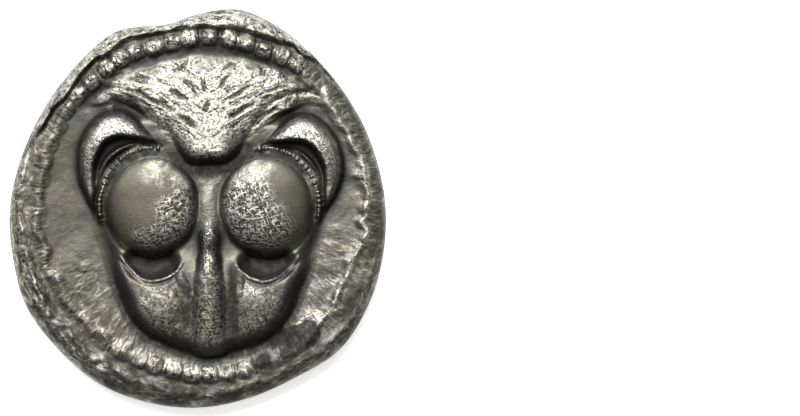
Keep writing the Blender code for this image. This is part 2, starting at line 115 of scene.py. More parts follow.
tuftOutline = [
    (0, 0.225), (0.085, 0.232), (0.145, 0.260), (0.190, 0.308), (0.230, 0.365), (0.295, 0.44),
    (0.39, 0.54), (0.50, 0.66), (0.44, 0.78), (0.20, 0.87), (0, 0.885),
]
lowerLid = [
    (0.16, -0.335), (0.19, -0.378), (0.24, -0.415), (0.315, -0.432), (0.40, -0.412),
    (0.47, -0.352), (0.53, -0.285),
]
# Centre and half axes of each rounded form on the mask's right half
browSwelling = (0.330, -0.012), (0.276, 0.294)
browSaddle = (0.0, -0.10), (0.13, 0.30)
eyeSocket = (0.345, -0.335), (0.195, 0.110)
cheek = (0.280, -0.60), (0.215, 0.245)
furCollar = (0.337, 0.0), (0.305, 0.338)
# Down the nose: place on the middle line, half width, height
noseStations = [
    (-0.08, 0.060, 0.45), (-0.13, 0.078, 0.68), (-0.185, 0.088, 0.77), (-0.235, 0.082, 0.74),
    (-0.272, 0.080, 0.72), (-0.33, 0.098, 0.80), (-0.43, 0.120, 0.90), (-0.55, 0.138, 0.96),
    (-0.68, 0.146, 0.94), (-0.78, 0.138, 0.85), (-0.83, 0.124, 0.70), (-0.87, 0.104, 0.38),
    (-0.90, 0.060, 0.0),
]
# Soft ridges beside the nose: points, half width, height
faceFolds = [
    ([(-0.190, -0.37), (-0.150, -0.45), (-0.108, -0.53)], 0.030, 0.07),
    ([(-0.215, -0.49), (-0.185, -0.56), (-0.150, -0.62)], 0.026, 0.05),
    ([(-0.170, -0.70), (-0.155, -0.74), (-0.140, -0.79)], 0.032, 0.05),
    ([(0.145, -0.35), (0.168, -0.44), (0.160, -0.56)], 0.040, 0.07),
]
# Loose strands beside the forehead tuft and over the ears, the same way
looseStrands = [
    ([(-0.70, 0.60), (-0.56, 0.645), (-0.41, 0.60), (-0.32, 0.49), (-0.25, 0.36), (-0.21, 0.27)],
     0.052, 0.09),
    ([(-0.76, 0.69), (-0.60, 0.725), (-0.46, 0.70), (-0.35, 0.63), (-0.27, 0.54), (-0.21, 0.44)],
     0.042, 0.05),
    ([(-0.62, 0.79), (-0.50, 0.80), (-0.40, 0.78)], 0.034, 0.05),
    ([(0.68, 0.60), (0.54, 0.625), (0.42, 0.575), (0.34, 0.50), (0.275, 0.41), (0.225, 0.30)], 0.046, 0.11),
    ([(0.70, 0.70), (0.58, 0.71), (0.46, 0.68), (0.36, 0.62)], 0.038, 0.07),
]
# Dark creases between the locks, and round the curls over them
furCreases = [
    [(0.046, 0.688), (0.095, 0.740), (0.138, 0.776)],
    [(0.104, 0.605), (0.171, 0.663), (0.247, 0.714)],
    [(0.129, 0.504), (0.188, 0.554), (0.277, 0.602)],
    [(0.248, 0.465), (0.320, 0.530), (0.404, 0.573)],
    [(0.360, 0.500), (0.450, 0.550), (0.560, 0.560)],
    [(0.330, 0.660), (0.400, 0.690), (0.480, 0.700)],
    [(-0.164, 0.747), (-0.114, 0.718), (-0.063, 0.680)],
    [(-0.223, 0.672), (-0.172, 0.647), (-0.122, 0.613)],
    [(-0.499, 0.688), (-0.415, 0.663), (-0.332, 0.621), (-0.265, 0.588), (-0.206, 0.546)],
    [(-0.181, 0.529), (-0.130, 0.496), (-0.080, 0.454)],
    [(-0.583, 0.621), (-0.533, 0.605), (-0.415, 0.554), (-0.365, 0.500)],
    [(-0.474, 0.747), (-0.399, 0.751), (-0.340, 0.739)],
    [(-0.038, 0.747), (-0.030, 0.705), (-0.026, 0.663)],
    [(-0.003, 0.605), (-0.008, 0.575), (-0.021, 0.546)],
    [(0.080, 0.795), (0.115, 0.825), (0.160, 0.835)],
    [(-0.205, 0.790), (-0.165, 0.815), (-0.130, 0.850)],
]

# The face underneath, in its own die units, seen from below with the figure upright. Its head is a plain one.
torsoOutline = [
    (0.141, 0.424), (0.194, 0.488), (0.288, 0.518), (0.382, 0.512), (0.453, 0.541), (0.547, 0.524),
    (0.641, 0.441), (0.688, 0.353), (0.671, 0.294), (0.624, 0.235), (0.547, 0.206), (0.476, 0.171),
    (0.418, 0.153), (0.324, 0.171), (0.247, 0.229), (0.182, 0.294), (0.135, 0.353),
]
bellyOutline = [
    (0.253, 0.188), (0.441, 0.176), (0.488, 0.106), (0.471, 0.012), (0.412, -0.076),
    (0.294, -0.059), (0.235, 0.059),
]
lapOutline = [
    (0.024, 0.094), (0.147, 0.129), (0.276, 0.071), (0.412, -0.059), (0.488, -0.206),
    (0.429, -0.335), (0.147, -0.324), (0.006, -0.324), (-0.088, -0.388), (-0.135, -0.341),
    (-0.088, -0.188), (-0.041, -0.029),
]
robeOutline = [
    (-0.112, -0.294), (0.006, -0.329), (0.076, -0.365), (0.076, -0.471), (0.112, -0.588),
    (0.088, -0.629), (0.0, -0.594), (-0.088, -0.624), (-0.176, -0.576), (-0.265, -0.618),
    (-0.347, -0.582), (-0.324, -0.471), (-0.259, -0.365), (-0.188, -0.306),
]
figureSlabs = [(lapOutline, 0.80, 0.16), (robeOutline, 0.62, 0.13), (bellyOutline, 0.65, 0.13),
               (torsoOutline, 1.00, 0.17)]  # Outline, height and the run of its rounded edge
# Limbs, staff, stool and cloak: points, half widths, heights
figureBars = [
    ([(0.171, 0.394), (0.065, 0.300), (-0.047, 0.218)], (0.047, 0.041, 0.038), (0.82, 0.70, 0.65)),
    ([(-0.053, 0.206), (-0.065, 0.353), (-0.041, 0.518), (-0.024, 0.624)],
     (0.038, 0.035, 0.032, 0.029), (0.70, 0.65, 0.60, 0.55)),
    ([(0.635, 0.353), (0.724, 0.224), (0.788, 0.094)], (0.047, 0.047, 0.044), (0.90, 0.80, 0.75)),
    ([(0.794, 0.088), (0.618, -0.006), (0.418, -0.082)], (0.044, 0.047, 0.035), (0.75, 0.80, 0.60)),
    ([(-0.353, -0.624), (-0.359, -0.694), (-0.394, -0.741)], (0.032, 0.029, 0.018), (0.50, 0.55, 0.30)),
    ([(-0.112, -0.600), (-0.112, -0.765), (-0.112, -0.865)], (0.041, 0.041, 0.047), (0.55, 0.55, 0.50)),
    ([(0.076, -0.624), (0.141, -0.718), (0.206, -0.771)], (0.026, 0.029, 0.024), (0.50, 0.55, 0.35)),
    ([(0.471, -0.430), (0.465, -0.560), (0.471, -0.700)], (0.040, 0.022, 0.030), (0.50, 0.38, 0.34)),
    ([(0.559, 0.576), (0.665, 0.512), (0.794, 0.459), (0.929, 0.529)],
     (0.029, 0.041, 0.035, 0.024), (0.40, 0.50, 0.40, 0.25)),
    ([(0.676, 0.424), (0.782, 0.365), (0.865, 0.353)], (0.029, 0.035, 0.024), (0.40, 0.40, 0.25)),
    ([(-0.912, 0.200), (-0.829, 0.159), (-0.735, 0.206)], (0.035, 0.047, 0.030), (0.50, 0.60, 0.40)),
    ([(-0.823, 0.353), (-0.741, 0.347)], (0.035, 0.041), (0.40, 0.50)),
]
# Round lumps, each with its centre, half axes and height: the head's own four (skull, cap of hair, nose
# and chin), then the raised hand and the stool's corner
figureKnobs = [
    ((0.365, 0.645), (0.085, 0.105), 0.90),
    ((0.395, 0.665), (0.080, 0.085), 1.00),
    ((0.283, 0.635), (0.016, 0.022), 0.60),
    ((0.312, 0.568), (0.035, 0.030), 0.75),
    ((-0.024, 0.665), (0.053, 0.059), 0.65),
    ((0.465, -0.288), (0.059, 0.076), 0.90),
]
draperyFolds = [
    [(-0.06, 0.03), (0.12, -0.06), (0.30, -0.20)],
    [(-0.10, -0.14), (0.08, -0.20), (0.24, -0.28)],
    [(-0.03, -0.34), (-0.06, -0.46), (-0.04, -0.57)],
    [(-0.14, -0.35), (-0.19, -0.46), (-0.20, -0.56)],
    [(0.22, 0.44), (0.36, 0.33), (0.46, 0.24)],
    [(0.30, 0.49), (0.45, 0.40), (0.56, 0.28)],
]
legendStrokes = [
    [(-0.412, 0.300), (-0.353, 0.235), (-0.282, 0.212)],
    [(-0.488, -0.165), (-0.435, -0.224)],
    [(-0.518, -0.424), (-0.441, -0.453)],
    [(-0.188, 0.071), (-0.153, -0.071)],
]
# Cut lines under the seat, under the forearm that rests on the hip and under the sleeve, darkened as painted
# shadow: points, half width, share of the depth
figureCuts = [
    ([(-0.13, -0.352), (0.15, -0.356), (0.43, -0.360)], 0.030, 1.0),
    ([(0.84, 0.040), (0.66, -0.075), (0.46, -0.140)], 0.028, 1.0),
    ([(0.20, 0.205), (0.32, 0.125), (0.44, 0.120), (0.56, 0.165)], 0.026, 0.8),
]
# Brown stain down the left and shade under the top: place, half width and strength at each station
leftStain = [
    (-0.45, 0.80, 0.17, 1.0), (-0.66, 0.58, 0.22, 1.0), (-0.80, 0.30, 0.26, 1.0),
    (-0.84, 0.02, 0.20, 0.9), (-0.86, -0.25, 0.12, 0.5),
]
upperShade = [
    (-0.35, 0.86, 0.10, 0.7), (0.02, 0.88, 0.12, 1.0), (0.40, 0.80, 0.12, 0.8), (0.62, 0.60, 0.08, 0.4),
]


# Cut to the range from 0 to 1
def unit(t):
    return np.clip(t, 0.0, 1.0)


# Smooth step: 0 below 0, 1 above 1, and 3t^2 - 2t^3 between
def ease(t):
    t = unit(t)
    return t * t * (3.0 - 2.0 * t)


# Smooth step from 0 at one value to 1 at the other, which may be the lower of the two
def ramp(value, zeroAt, oneAt):
    return ease((value - zeroAt) / (oneAt - zeroAt))


# A ramp that climbs from start to full, times one that falls from fade to end
def arc(value, start, full, fade, end):
    return ramp(value, start, full) * ramp(value, end, fade)


# Bell curve: e to the power of minus q^2
def bell(q):
    return np.exp(-q * q)


def highest(*grids):
    return np.maximum.reduce(grids)


# Half circle: the square root of 1 - q^2, and 0 past q = 1
def dome(q):
    q = np.clip(q, -1.0, 1.0)
    return np.sqrt(1.0 - q * q)


# Quarter-round edge: the half circle of what the depth inside an outline still lacks of the run
def quarterRound(depth, run):
    return dome(1.0 - unit(depth / run))


# The higher of two surfaces, blended by a parabola over the fillet's width where they cross
def join(a, b, fillet):
    t = unit(0.5 + 0.5 * (a - b) / fillet)
    return b + (a - b) * t + fillet * t * (1.0 - t)


# Distance from a form's centre divided by its half axis in that direction
def ellipse(x, y, form, turn=0.0):
    (cx, cy), (rx, ry) = form
    c = math.cos(math.radians(turn))
    s = math.sin(math.radians(turn))
    return np.hypot(((x - cx) * c + (y - cy) * s) / rx, ((y - cy) * c - (x - cx) * s) / ry)


# Soft spot: a ramp from 0 at the rim to 1 at the core, both in shares of its half axes, frayed by a noise
def spot(x, y, centre, radii, turn, fray, rim, core):
    return ramp(ellipse(x, y, (centre, radii), turn) + fray, rim, core)


# Catmull-Rom curve: between two points, the cubic that leaves each one along its neighbours' chord
def spline(points, closed, perSpan=5):
    p = np.array(points, float)
    first, last = (p[-1:], p[:2]) if closed else (p[:1], p[-1:])
    q = np.vstack([first, p, last])
    t = np.linspace(0.0, 1.0, perSpan, endpoint=False)[:, None]
    rows = []
    for a, b, c, d in zip(q, q[1:], q[2:], q[3:]):
        cubic = (3 * b - a - 3 * c + d) * t + (2 * a - 5 * b + 4 * c - d)
        rows.append(0.5 * ((cubic * t + (c - a)) * t + 2 * b))
    if not closed:
        rows.append(p[-1:])
    return np.vstack(rows)


# Shortest distance to the smoothed outline's sides, positive where a ray to the right crosses them an odd
# number of times, negative elsewhere
def depthInside(x, y, outline):
    corners = spline(outline, closed=True)
    nearest = np.full(x.shape, np.inf)
    inside = np.zeros(x.shape, bool)
    for (x0, y0), (x1, y1) in zip(corners, np.roll(corners, -1, axis=0)):
        dx, dy = x1 - x0, y1 - y0
        t = unit(((x - x0) * dx + (y - y0) * dy) / (dx * dx + dy * dy))
        nearest = np.minimum(nearest, np.hypot(x - x0 - t * dx, y - y0 - t * dy))
        if y1 != y0:
            inside ^= ((y0 > y) != (y1 > y)) & (x < x0 + (y - y0) / dy * dx)
    return np.where(inside, nearest, -nearest)


# Half-round bar: height times the half circle of the distance to the line over the half width
def bar(x, y, stations):
    tallest = np.zeros(x.shape)
    for (x0, y0, w0, h0), (x1, y1, w1, h1) in zip(stations, stations[1:]):
        dx, dy = x1 - x0, y1 - y0
        t = unit(((x - x0) * dx + (y - y0) * dy) / (dx * dx + dy * dy))
        across = np.hypot(x - x0 - t * dx, y - y0 - t * dy) / (w0 + (w1 - w0) * t)
        tallest = np.maximum(tallest, (h0 + (h1 - h0) * t) * dome(across))
    return tallest


# A bar whose width and height follow the root of a sine along it, so that both ends run out
def strand(x, y, points, width, height):
    line = spline(points, closed=False, perSpan=4)
    taper = np.sin(np.linspace(0.06, 0.97, len(line)) * math.pi) ** 0.5
    return bar(x, y, np.column_stack([line, width * taper, height * taper]))


# Height of the tallest of some lines' strands, which are 1 high, and 0 beside them
def tallestStrand(x, y, lines, width):
    tallest = np.zeros(x.shape)
    for points in lines:
        tallest = np.maximum(tallest, strand(x, y, points, width, 1.0))
    return tallest


# Flat-topped form with a quarter-round edge
def slab(x, y, outline, height, rounding):
    depth = depthInside(x, y, outline)
    return np.where(depth > 0, height * quarterRound(depth, rounding), 0.0)


# An outline's right half with its mirror image
def bothHalves(half):
    return half + [(-x, y) for x, y in reversed(half) if x > 0]


noiseRepeat = 97


# Random numbers from -1 to 1 at the corners of squares, blended by the smooth step between them. The table of
# numbers repeats after noiseRepeat squares.
def latticeNoise(x, y, pitch, seed):
    table = np.random.default_rng(seed).uniform(-1.0, 1.0, (noiseRepeat, noiseRepeat))
    gridX = x / pitch + 500.0
    gridY = y / pitch + 500.0
    i = np.floor(gridX).astype(int)
    j = np.floor(gridY).astype(int)
    fx = ease(gridX - i)
    fy = ease(gridY - j)
    rows = []
    for row in (j % noiseRepeat, (j + 1) % noiseRepeat):
        rows.append(table[i % noiseRepeat, row] * (1.0 - fx) + table[(i + 1) % noiseRepeat, row] * fx)
    return rows[0] * (1.0 - fy) + rows[1] * fy


# Sum of lattice noises, each turned, half as wide and 0.55 as strong as the one before
def roughNoise(x, y, pitch, seed, octaves=3):
    total = np.zeros(x.shape)
    share = 1.0
    for k in range(octaves):
        c = math.cos(0.7 + 1.9 * k)
        s = math.sin(0.7 + 1.9 * k)
        total = total + share * latticeNoise(x * c + y * s, y * c - x * s, pitch * 0.5 ** k, seed + k)
        share = share * 0.55
    return total


# What the given function of x and y gives inside the window, and 0 elsewhere
def inWindow(x, y, window, carve):
    result = np.zeros(x.shape)
    result[window] = carve(x[window], y[window])
    return result


# The lion's mask: heights in shares of its relief, lengths in die units, turns in degrees
maskLook = {
    "maneHeight": 0.24,
    "tuftHeight": 0.98,
    "tuftFall": 1.10,
    "lockPitch": 0.056,
    "lockWidth": 0.036,
    "lockLength": 0.17,
    "lockRise": 0.045,
    "curlRise": 0.020,
    "creaseWidth": 0.016,
    "creaseDepth": 0.08,
    "wallHeight": 0.42,
    "wallRun": 0.14,
    "lipHeight": 0.58,
    "lipSlope": 1.7,
    "lipRun": 0.085,
    "saddleHeight": 0.60,
    "cheekHeight": 0.84,
    "cheekTurn": -20.0,
    "socketFloor": 0.05,
    "earFloor": 0.26,
    "collarHeight": 0.46,
    "collarWidth": 0.070,
    "collarTeeth": 80,
    "swellingHeight": 0.80,
    "swellingTurn": 8.0,
    "swellingFullness": 1.4,
    "lidHeight": 0.13,
    "lidWidth": 0.016,
    "noseSharpness": 1.12,
}


# A hair's line, going out and up from the middle: it rises by 0.72 of the way out, bends down by 0.44 of its
# square, and climbs a further 0.16 beside the tuft's tip
def hairLine(start, sideX):
    beside = 0.16 * ramp(sideX, 0.12, 0.40) * ramp(start, 0.40, 0.15)
    return start + 0.72 * sideX - 0.44 * sideX ** 2 + beside


# Overlapping leaf-shaped locks, laid end to end along the hair's lines, each of its own size and place
def furLocks(x, y):
    look = maskLook
    draw = np.random.default_rng(7)
    tallest = np.zeros(x.shape)
    leaf = np.array([0.15, 0.75, 1.0, 0.95, 0.7, 0.1])
    for side in (-1.0, 1.0):
        for row in np.arange(0.12, 0.84, look["lockPitch"]):
            start = draw.uniform(-0.04, 0.08)
            while start < 0.80:
                length = look["lockLength"] * draw.uniform(0.6, 1.35)
                way = start + length * np.linspace(0.0, 1.0, len(leaf))
                climb = row + draw.uniform(-0.4, 0.4) * look["lockPitch"]
                climb = climb + draw.uniform(-0.22, 0.22) * (way - start)
                width = look["lockWidth"] * draw.uniform(0.7, 1.15) * leaf
                height = draw.uniform(0.45, 1.0) * leaf ** 0.6
                rows = np.column_stack([side * np.abs(way), hairLine(climb, np.abs(way)), width, height])
                tallest = np.maximum(tallest, bar(x, y, rows))
                start = start + length * draw.uniform(0.75, 1.0)
    return tallest


# The creases' depth, from 0 to 1: a half-round groove along each, running out at both ends
def furGrooves(x, y):
    return tallestStrand(x, y, furCreases, maskLook["creaseWidth"])


# Mane and forehead tuft: one slope that climbs to the tuft's tip and is cut off steeply there, with a low
# mane on both sides, and the locks, curls and loose strands on top. Gives the creases' share too.
def crown(x, y, inTuft):
    look = maskLook
    sideX = np.abs(x)
    inMane = depthInside(x, y, bothHalves(maneOutline))
    ragged = inMane + 0.026 * roughNoise(x, y, 0.12, 21, 3)
    mane = look["maneHeight"] + 0.12 * ramp(y, 0.66, 0.36)
    mane = mane * ease(ragged / (0.06 + 0.10 * ramp(y, 0.55, 0.65))) * (1.0 - 0.65 * ramp(sideX, 0.46, 0.74))
    crest = look["tuftHeight"] - look["tuftFall"] * np.clip(y - 0.27, 0.0, 0.60)
    tuft = np.where(inTuft > 0, crest * quarterRound(inTuft, 0.11 + 0.17 * ramp(y, 0.28, 0.48)), 0.0)

    window = (sideX < 0.86) & (y > 0.08) & (y < 0.95)
    locks = inWindow(x, y, window, furLocks)
    # The creases waver a little, so their places are shifted by a noise first
    shift = 0.006 * roughNoise(x, y, 0.06, 33, 2)
    grooves = inWindow(x + shift, y - shift, window, furGrooves)
    curls = ramp(y, 0.62, 0.74) * ramp(sideX, 0.62, 0.50)
    worn = (0.75 + 0.5 * roughNoise(x, y, 0.16, 27, 2)) * (1.0 - 0.6 * curls)
    fur = look["lockRise"] * (locks - 0.45) * worn
    fur = fur + look["curlRise"] * roughNoise(x, y, 0.055, 31, 3) * (0.6 + curls)
    fur = fur * ramp(ragged, 0.0, 0.05) * (0.14 + 0.86 * ramp(y, 0.34, 0.54))
    height = join(mane, tuft, 0.10) + fur - look["creaseDepth"] * (1.0 - 0.5 * curls) * grooves
    for points, width, rise in looseStrands:
        height = height + strand(x, y, points, width, rise)
    return np.where(np.maximum(ragged, inTuft) > 0, height, 0.0), grooves


# The facing scalp, in shares of its relief: a wall, then ears, brow, cheeks, sockets, collars, swellings,
# lids, nose and hair, each blended into the last or cut from it. Also gives shares that the finish reads:
# skin, smooth and brown on each swelling's outer upper side; deep, toning and painted shade in the ear
# hollows and sockets and painted shade in the creases and valleys, under the tuft's tip and up the walls;
# brightest, on the lids, the collars and the swellings' inner upper edges.
def lionScalp(x, y):
    look = maskLook
    sideX = np.abs(x)
    # The right ear sits a little lower than the left
    earY = y + np.where(x > 0, 0.022, 0.0) * arc(y, -0.05, 0.20, 0.55, 0.65)

    inside = depthInside(x, earY, bothHalves(scalpOutline))
    inside = inside + 0.008 * roughNoise(x, y, 0.17, 41, 3)
    low = ramp(y, -0.25, -0.45)
    wall = (look["wallHeight"] + 0.22 * low) * ease(inside / (look["wallRun"] - 0.02 * low))
    face = wall * (0.25 + 0.75 * ramp(earY, 0.59, 0.47))

    # Each ear is a broad lip, highest beside its hollow, that slopes gently outwards and then drops
    hollow = depthInside(sideX, earY, earHollow)
    collarReach = ellipse(sideX, y, furCollar)
    inEar = depthInside(sideX, earY, earOutline)
    lip = look["lipHeight"] + 0.22 * ramp(earY, 0.10, 0.38) - look["lipSlope"] * unit(-hollow - 0.02)
    lip = lip * quarterRound(inEar, look["lipRun"]) * ramp(collarReach, 1.06, 1.14)
    face = join(face, lip * ramp(earY, -0.16, 0.08), 0.04)

    face = join(face, look["saddleHeight"] * dome(ellipse(sideX, y, browSaddle)), 0.08)
    cheeks = look["cheekHeight"] * dome(ellipse(sideX, y, cheek, look["cheekTurn"]))
    face = join(face, cheeks * ramp(inside, 0.0, 0.10), 0.16)
    socket = ramp(ellipse(sideX, y, eyeSocket), 1.05, 0.45)
    floor = look["socketFloor"] + 0.26 * ramp(y, -0.28, -0.43) + 0.03 * roughNoise(x, y, 0.07, 43, 2)
    face = face * (1.0 - socket) + np.minimum(face, floor) * socket
    inHollow = ramp(hollow, 0.002, 0.032)
    face = face * (1.0 - inHollow) + (look["earFloor"] + 0.04 * roughNoise(x, y, 0.07, 47, 2)) * inHollow

    # A collar of short fur round each swelling, cut into fine teeth
    collarX, collarY = furCollar[0]
    around = np.arctan2(y - collarY, sideX - collarX)
    waves = look["collarTeeth"] * around + 4.0 * latticeNoise(around * 7.0, x * 0.0, 1.0, 51)
    teeth = 1.0 + 0.26 * np.sin(waves) * (0.6 + 0.6 * latticeNoise(x, y, 0.05, 52))
    collar = look["collarHeight"] * dome((collarReach - 1.0) / look["collarWidth"]) * teeth
    collar = collar * arc(np.degrees(around), -30.0, -5.0, 95.0, 125.0)
    face = np.maximum(face, collar)

    # Each swelling leans so that its lower inner side stands highest, and meets the brow without a groove
    centreX, centreY = browSwelling[0]
    reach = ellipse(sideX, y, browSwelling, look["swellingTurn"]) + 0.008 * latticeNoise(x, y, 0.15, 61)
    inner = ramp(sideX, 0.24, 0.10)
    lean = 1.0 - 0.50 * (sideX - centreX) - 0.30 * y
    base = 0.14 + 0.26 * np.maximum(ramp(y, -0.10, 0.15), 0.8 * inner)
    crest = (look["swellingHeight"] - base) * dome(unit(reach) ** look["swellingFullness"]) * lean
    groove = bell((reach - 1.03) / 0.045) * (1.0 - inner) * ramp(y, 0.15, -0.05)
    face = face * (1.0 - 0.12 * groove)
    face = join(face, np.where(reach < 1.0, base + crest, 0.0), 0.03 + 0.07 * inner)

    # A lid under each socket, broken by wear, with a groove below it
    lidLine = spline(lowerLid, closed=False)
    taper = np.sin(np.linspace(0.10, 0.97, len(lidLine)) * math.pi) ** 0.5
    broken = 0.9 + 0.7 * roughNoise(x, y, 0.07, 57, 2)
    lidRows = np.column_stack([lidLine, look["lidWidth"] * taper, look["lidHeight"] * taper])
    face = face + broken * bar(sideX, y, lidRows)
    face = face - bar(sideX, y, np.column_stack([lidLine + (0.002, -0.027), 0.013 * taper, 0.06 * taper]))

    place, width, height = spline(noseStations[::-1], closed=False).T
    halfWidth = np.interp(y, place, width) * (1.0 + 0.06 * latticeNoise(x * 0.2, y, 0.07, 71))
    nose = np.interp(y, place, height, 0.0, 0.0) * dome(x / halfWidth) ** look["noseSharpness"]
    face = join(face, nose, 0.09)
    for points, width, rise in faceFolds:
        face = face + strand(x, y, points, width, rise)

    inTuft = depthInside(x, y, bothHalves(tuftOutline))
    hair, grooves = crown(x, y, inTuft)
    height = join(face * ramp(inside, 0.0, 0.03), hair, 0.03)

    upperOuter = 0.75 * (sideX - centreX) + 0.65 * (y - centreY) + 0.05 * roughNoise(x, y, 0.11, 65, 3)
    skin = ramp(reach, 0.99, 0.93) * ramp(upperOuter - 0.06 * np.sign(x), -0.05, 0.07)
    lid = bar(sideX, y, np.column_stack([lidLine, 0.022 * taper, taper])) * unit(broken)
    innerTop = ramp(np.hypot(sideX - 0.245, (y - 0.205) * 1.4), 0.20, 0.07)
    innerTop = np.clip(innerTop * (0.34 + 0.5 * roughNoise(x, y, 0.05, 67, 3)), 0.0, 0.75)
    rubbedCollar = 0.7 * ramp(collar, 0.40, 0.55) * (collar >= face - 0.02)
    brightest = highest(unit(highest(0.9 * lid, innerTop * ramp(reach, 0.99, 0.96))), rubbedCollar)

    # Painted shade in the creases, up the mask's foot, round the tuft's tip and beside the snout; darker also
    # over the snout and on the shelf round each swelling
    footShade = (0.42 + 0.16 * low) * ramp(inside, 0.15, 0.06) * ramp(inside, -0.03, 0.0) * ramp(y, 0.05, -0.20)
    frayed = inTuft + 0.02 * roughNoise(x, y, 0.05, 49, 2)
    shade = 0.75 * ramp(inTuft, -0.085, -0.035) * ramp(frayed, 0.055, -0.005) * ramp(y, 0.40, 0.28)
    valleyShade = bell((sideX - 0.135) / 0.036) * ramp(y, -0.30, -0.42)
    valleyShade = valleyShade * (1.0 + 0.4 * roughNoise(x, y, 0.08, 45, 2)) * (0.62 + 0.25 * np.sign(x))
    snout = 0.20 * ramp(y, -0.28, -0.34) * (1.0 + 0.8 * roughNoise(x, y, 0.10, 55, 2))
    shelf = ramp(reach, 0.985, 1.015) * ramp(reach, 1.50, 1.30) * arc(y, 0.02, 0.12, 0.41, 0.47)
    shelf = shelf * ramp(collar, 0.40, 0.25) * ramp(sideX, 0.05, 0.10)
    shelf = shelf * np.clip(0.55 + 0.35 * roughNoise(x, y, 0.06, 53, 3), 0.0, 0.8)
    shadeAndDarkening = highest(0.65 * grooves, footShade, shade, unit(valleyShade + snout) * (inside > 0), shelf)
    # Toning and painted shade in the ear hollows and the sockets, much stronger low down where the sockets
    # are
    deep = highest(inHollow * ramp(collarReach, 1.05, 1.08), socket * ramp(reach, 0.96, 1.02))
    deep = highest(deep * (0.15 + 0.70 * ramp(y, -0.20, -0.30)), shadeAndDarkening) * (1.0 - lid)
    return height, {"skin": skin, "deep": deep, "brightest": brightest}


# A fixed number from 0 to 1 for each whole number: the fraction of a large sine
def scatter(number, seed):
    value = np.sin(number * 12.9898 + seed * 4.1414) * 43758.5453
    return value - np.floor(value)


# Beads: worn lumps, between a disc and a square, at equal steps of angle, each a little off its place and of
# its own size. They stand clear at the upper left, less so at the bottom, and hardly at all elsewhere.
def beadRing(u, v):
    turn = np.arctan2(v, u)
    out = np.hypot(u, v) / coinLook["beadCircle"]
    step = 2.0 * math.pi / coinLook["beadCount"]
    number = np.round(turn / step)
    own = scatter(number, 1)
    other = scatter(number, 2)
    sideways = (turn / step - number - 0.20 * (own - 0.5)) * step * out
    outwards = (out - 1.0 - 0.020 * (other - 0.5)) * (1.0 + 0.3 * (own - 0.5))
    halfWidth = coinLook["beadDiameter"] / 2 / coinLook["obverseDieRadius"] * (0.86 + 0.30 * own)
    degrees = np.degrees(turn) % 360.0
    topLeft = arc(degrees, 45.0, 60.0, 165.0, 185.0) * (1.0 - 0.75 * ramp(degrees, 125.0, 150.0))
    bottom = 0.62 * arc(degrees, 228.0, 253.0, 282.0, 290.0)
    clear = np.clip(topLeft * (0.75 + 0.3 * other) + bottom * (0.7 + 0.4 * own) + 0.04, 0.0, 1.1)
    squarish = (np.abs(sideways) ** 3 + np.abs(outwards) ** 3) ** (1.0 / 3.0) / halfWidth
    return dome(unit(squarish) ** 1.9) * clear * (1.0 + 0.30 * roughNoise(u, v, 0.055, 77, 2))


# Sum of sine waves that sway with another sine across them
def unevenness(x, y, phase):
    total = np.zeros(x.shape)
    for turn, length, share in unevenWaves:
        across = (x * math.cos(turn) + y * math.sin(turn)) / coinLook["unevenPitch"] / length
        sway = (y * math.cos(turn) - x * math.sin(turn)) / coinLook["unevenPitch"]
        total = total + share * np.sin(2.0 * math.pi * across + 1.6 * np.sin(3.0 * sway + phase) + phase)
    return coinLook["unevenDepth"] * total
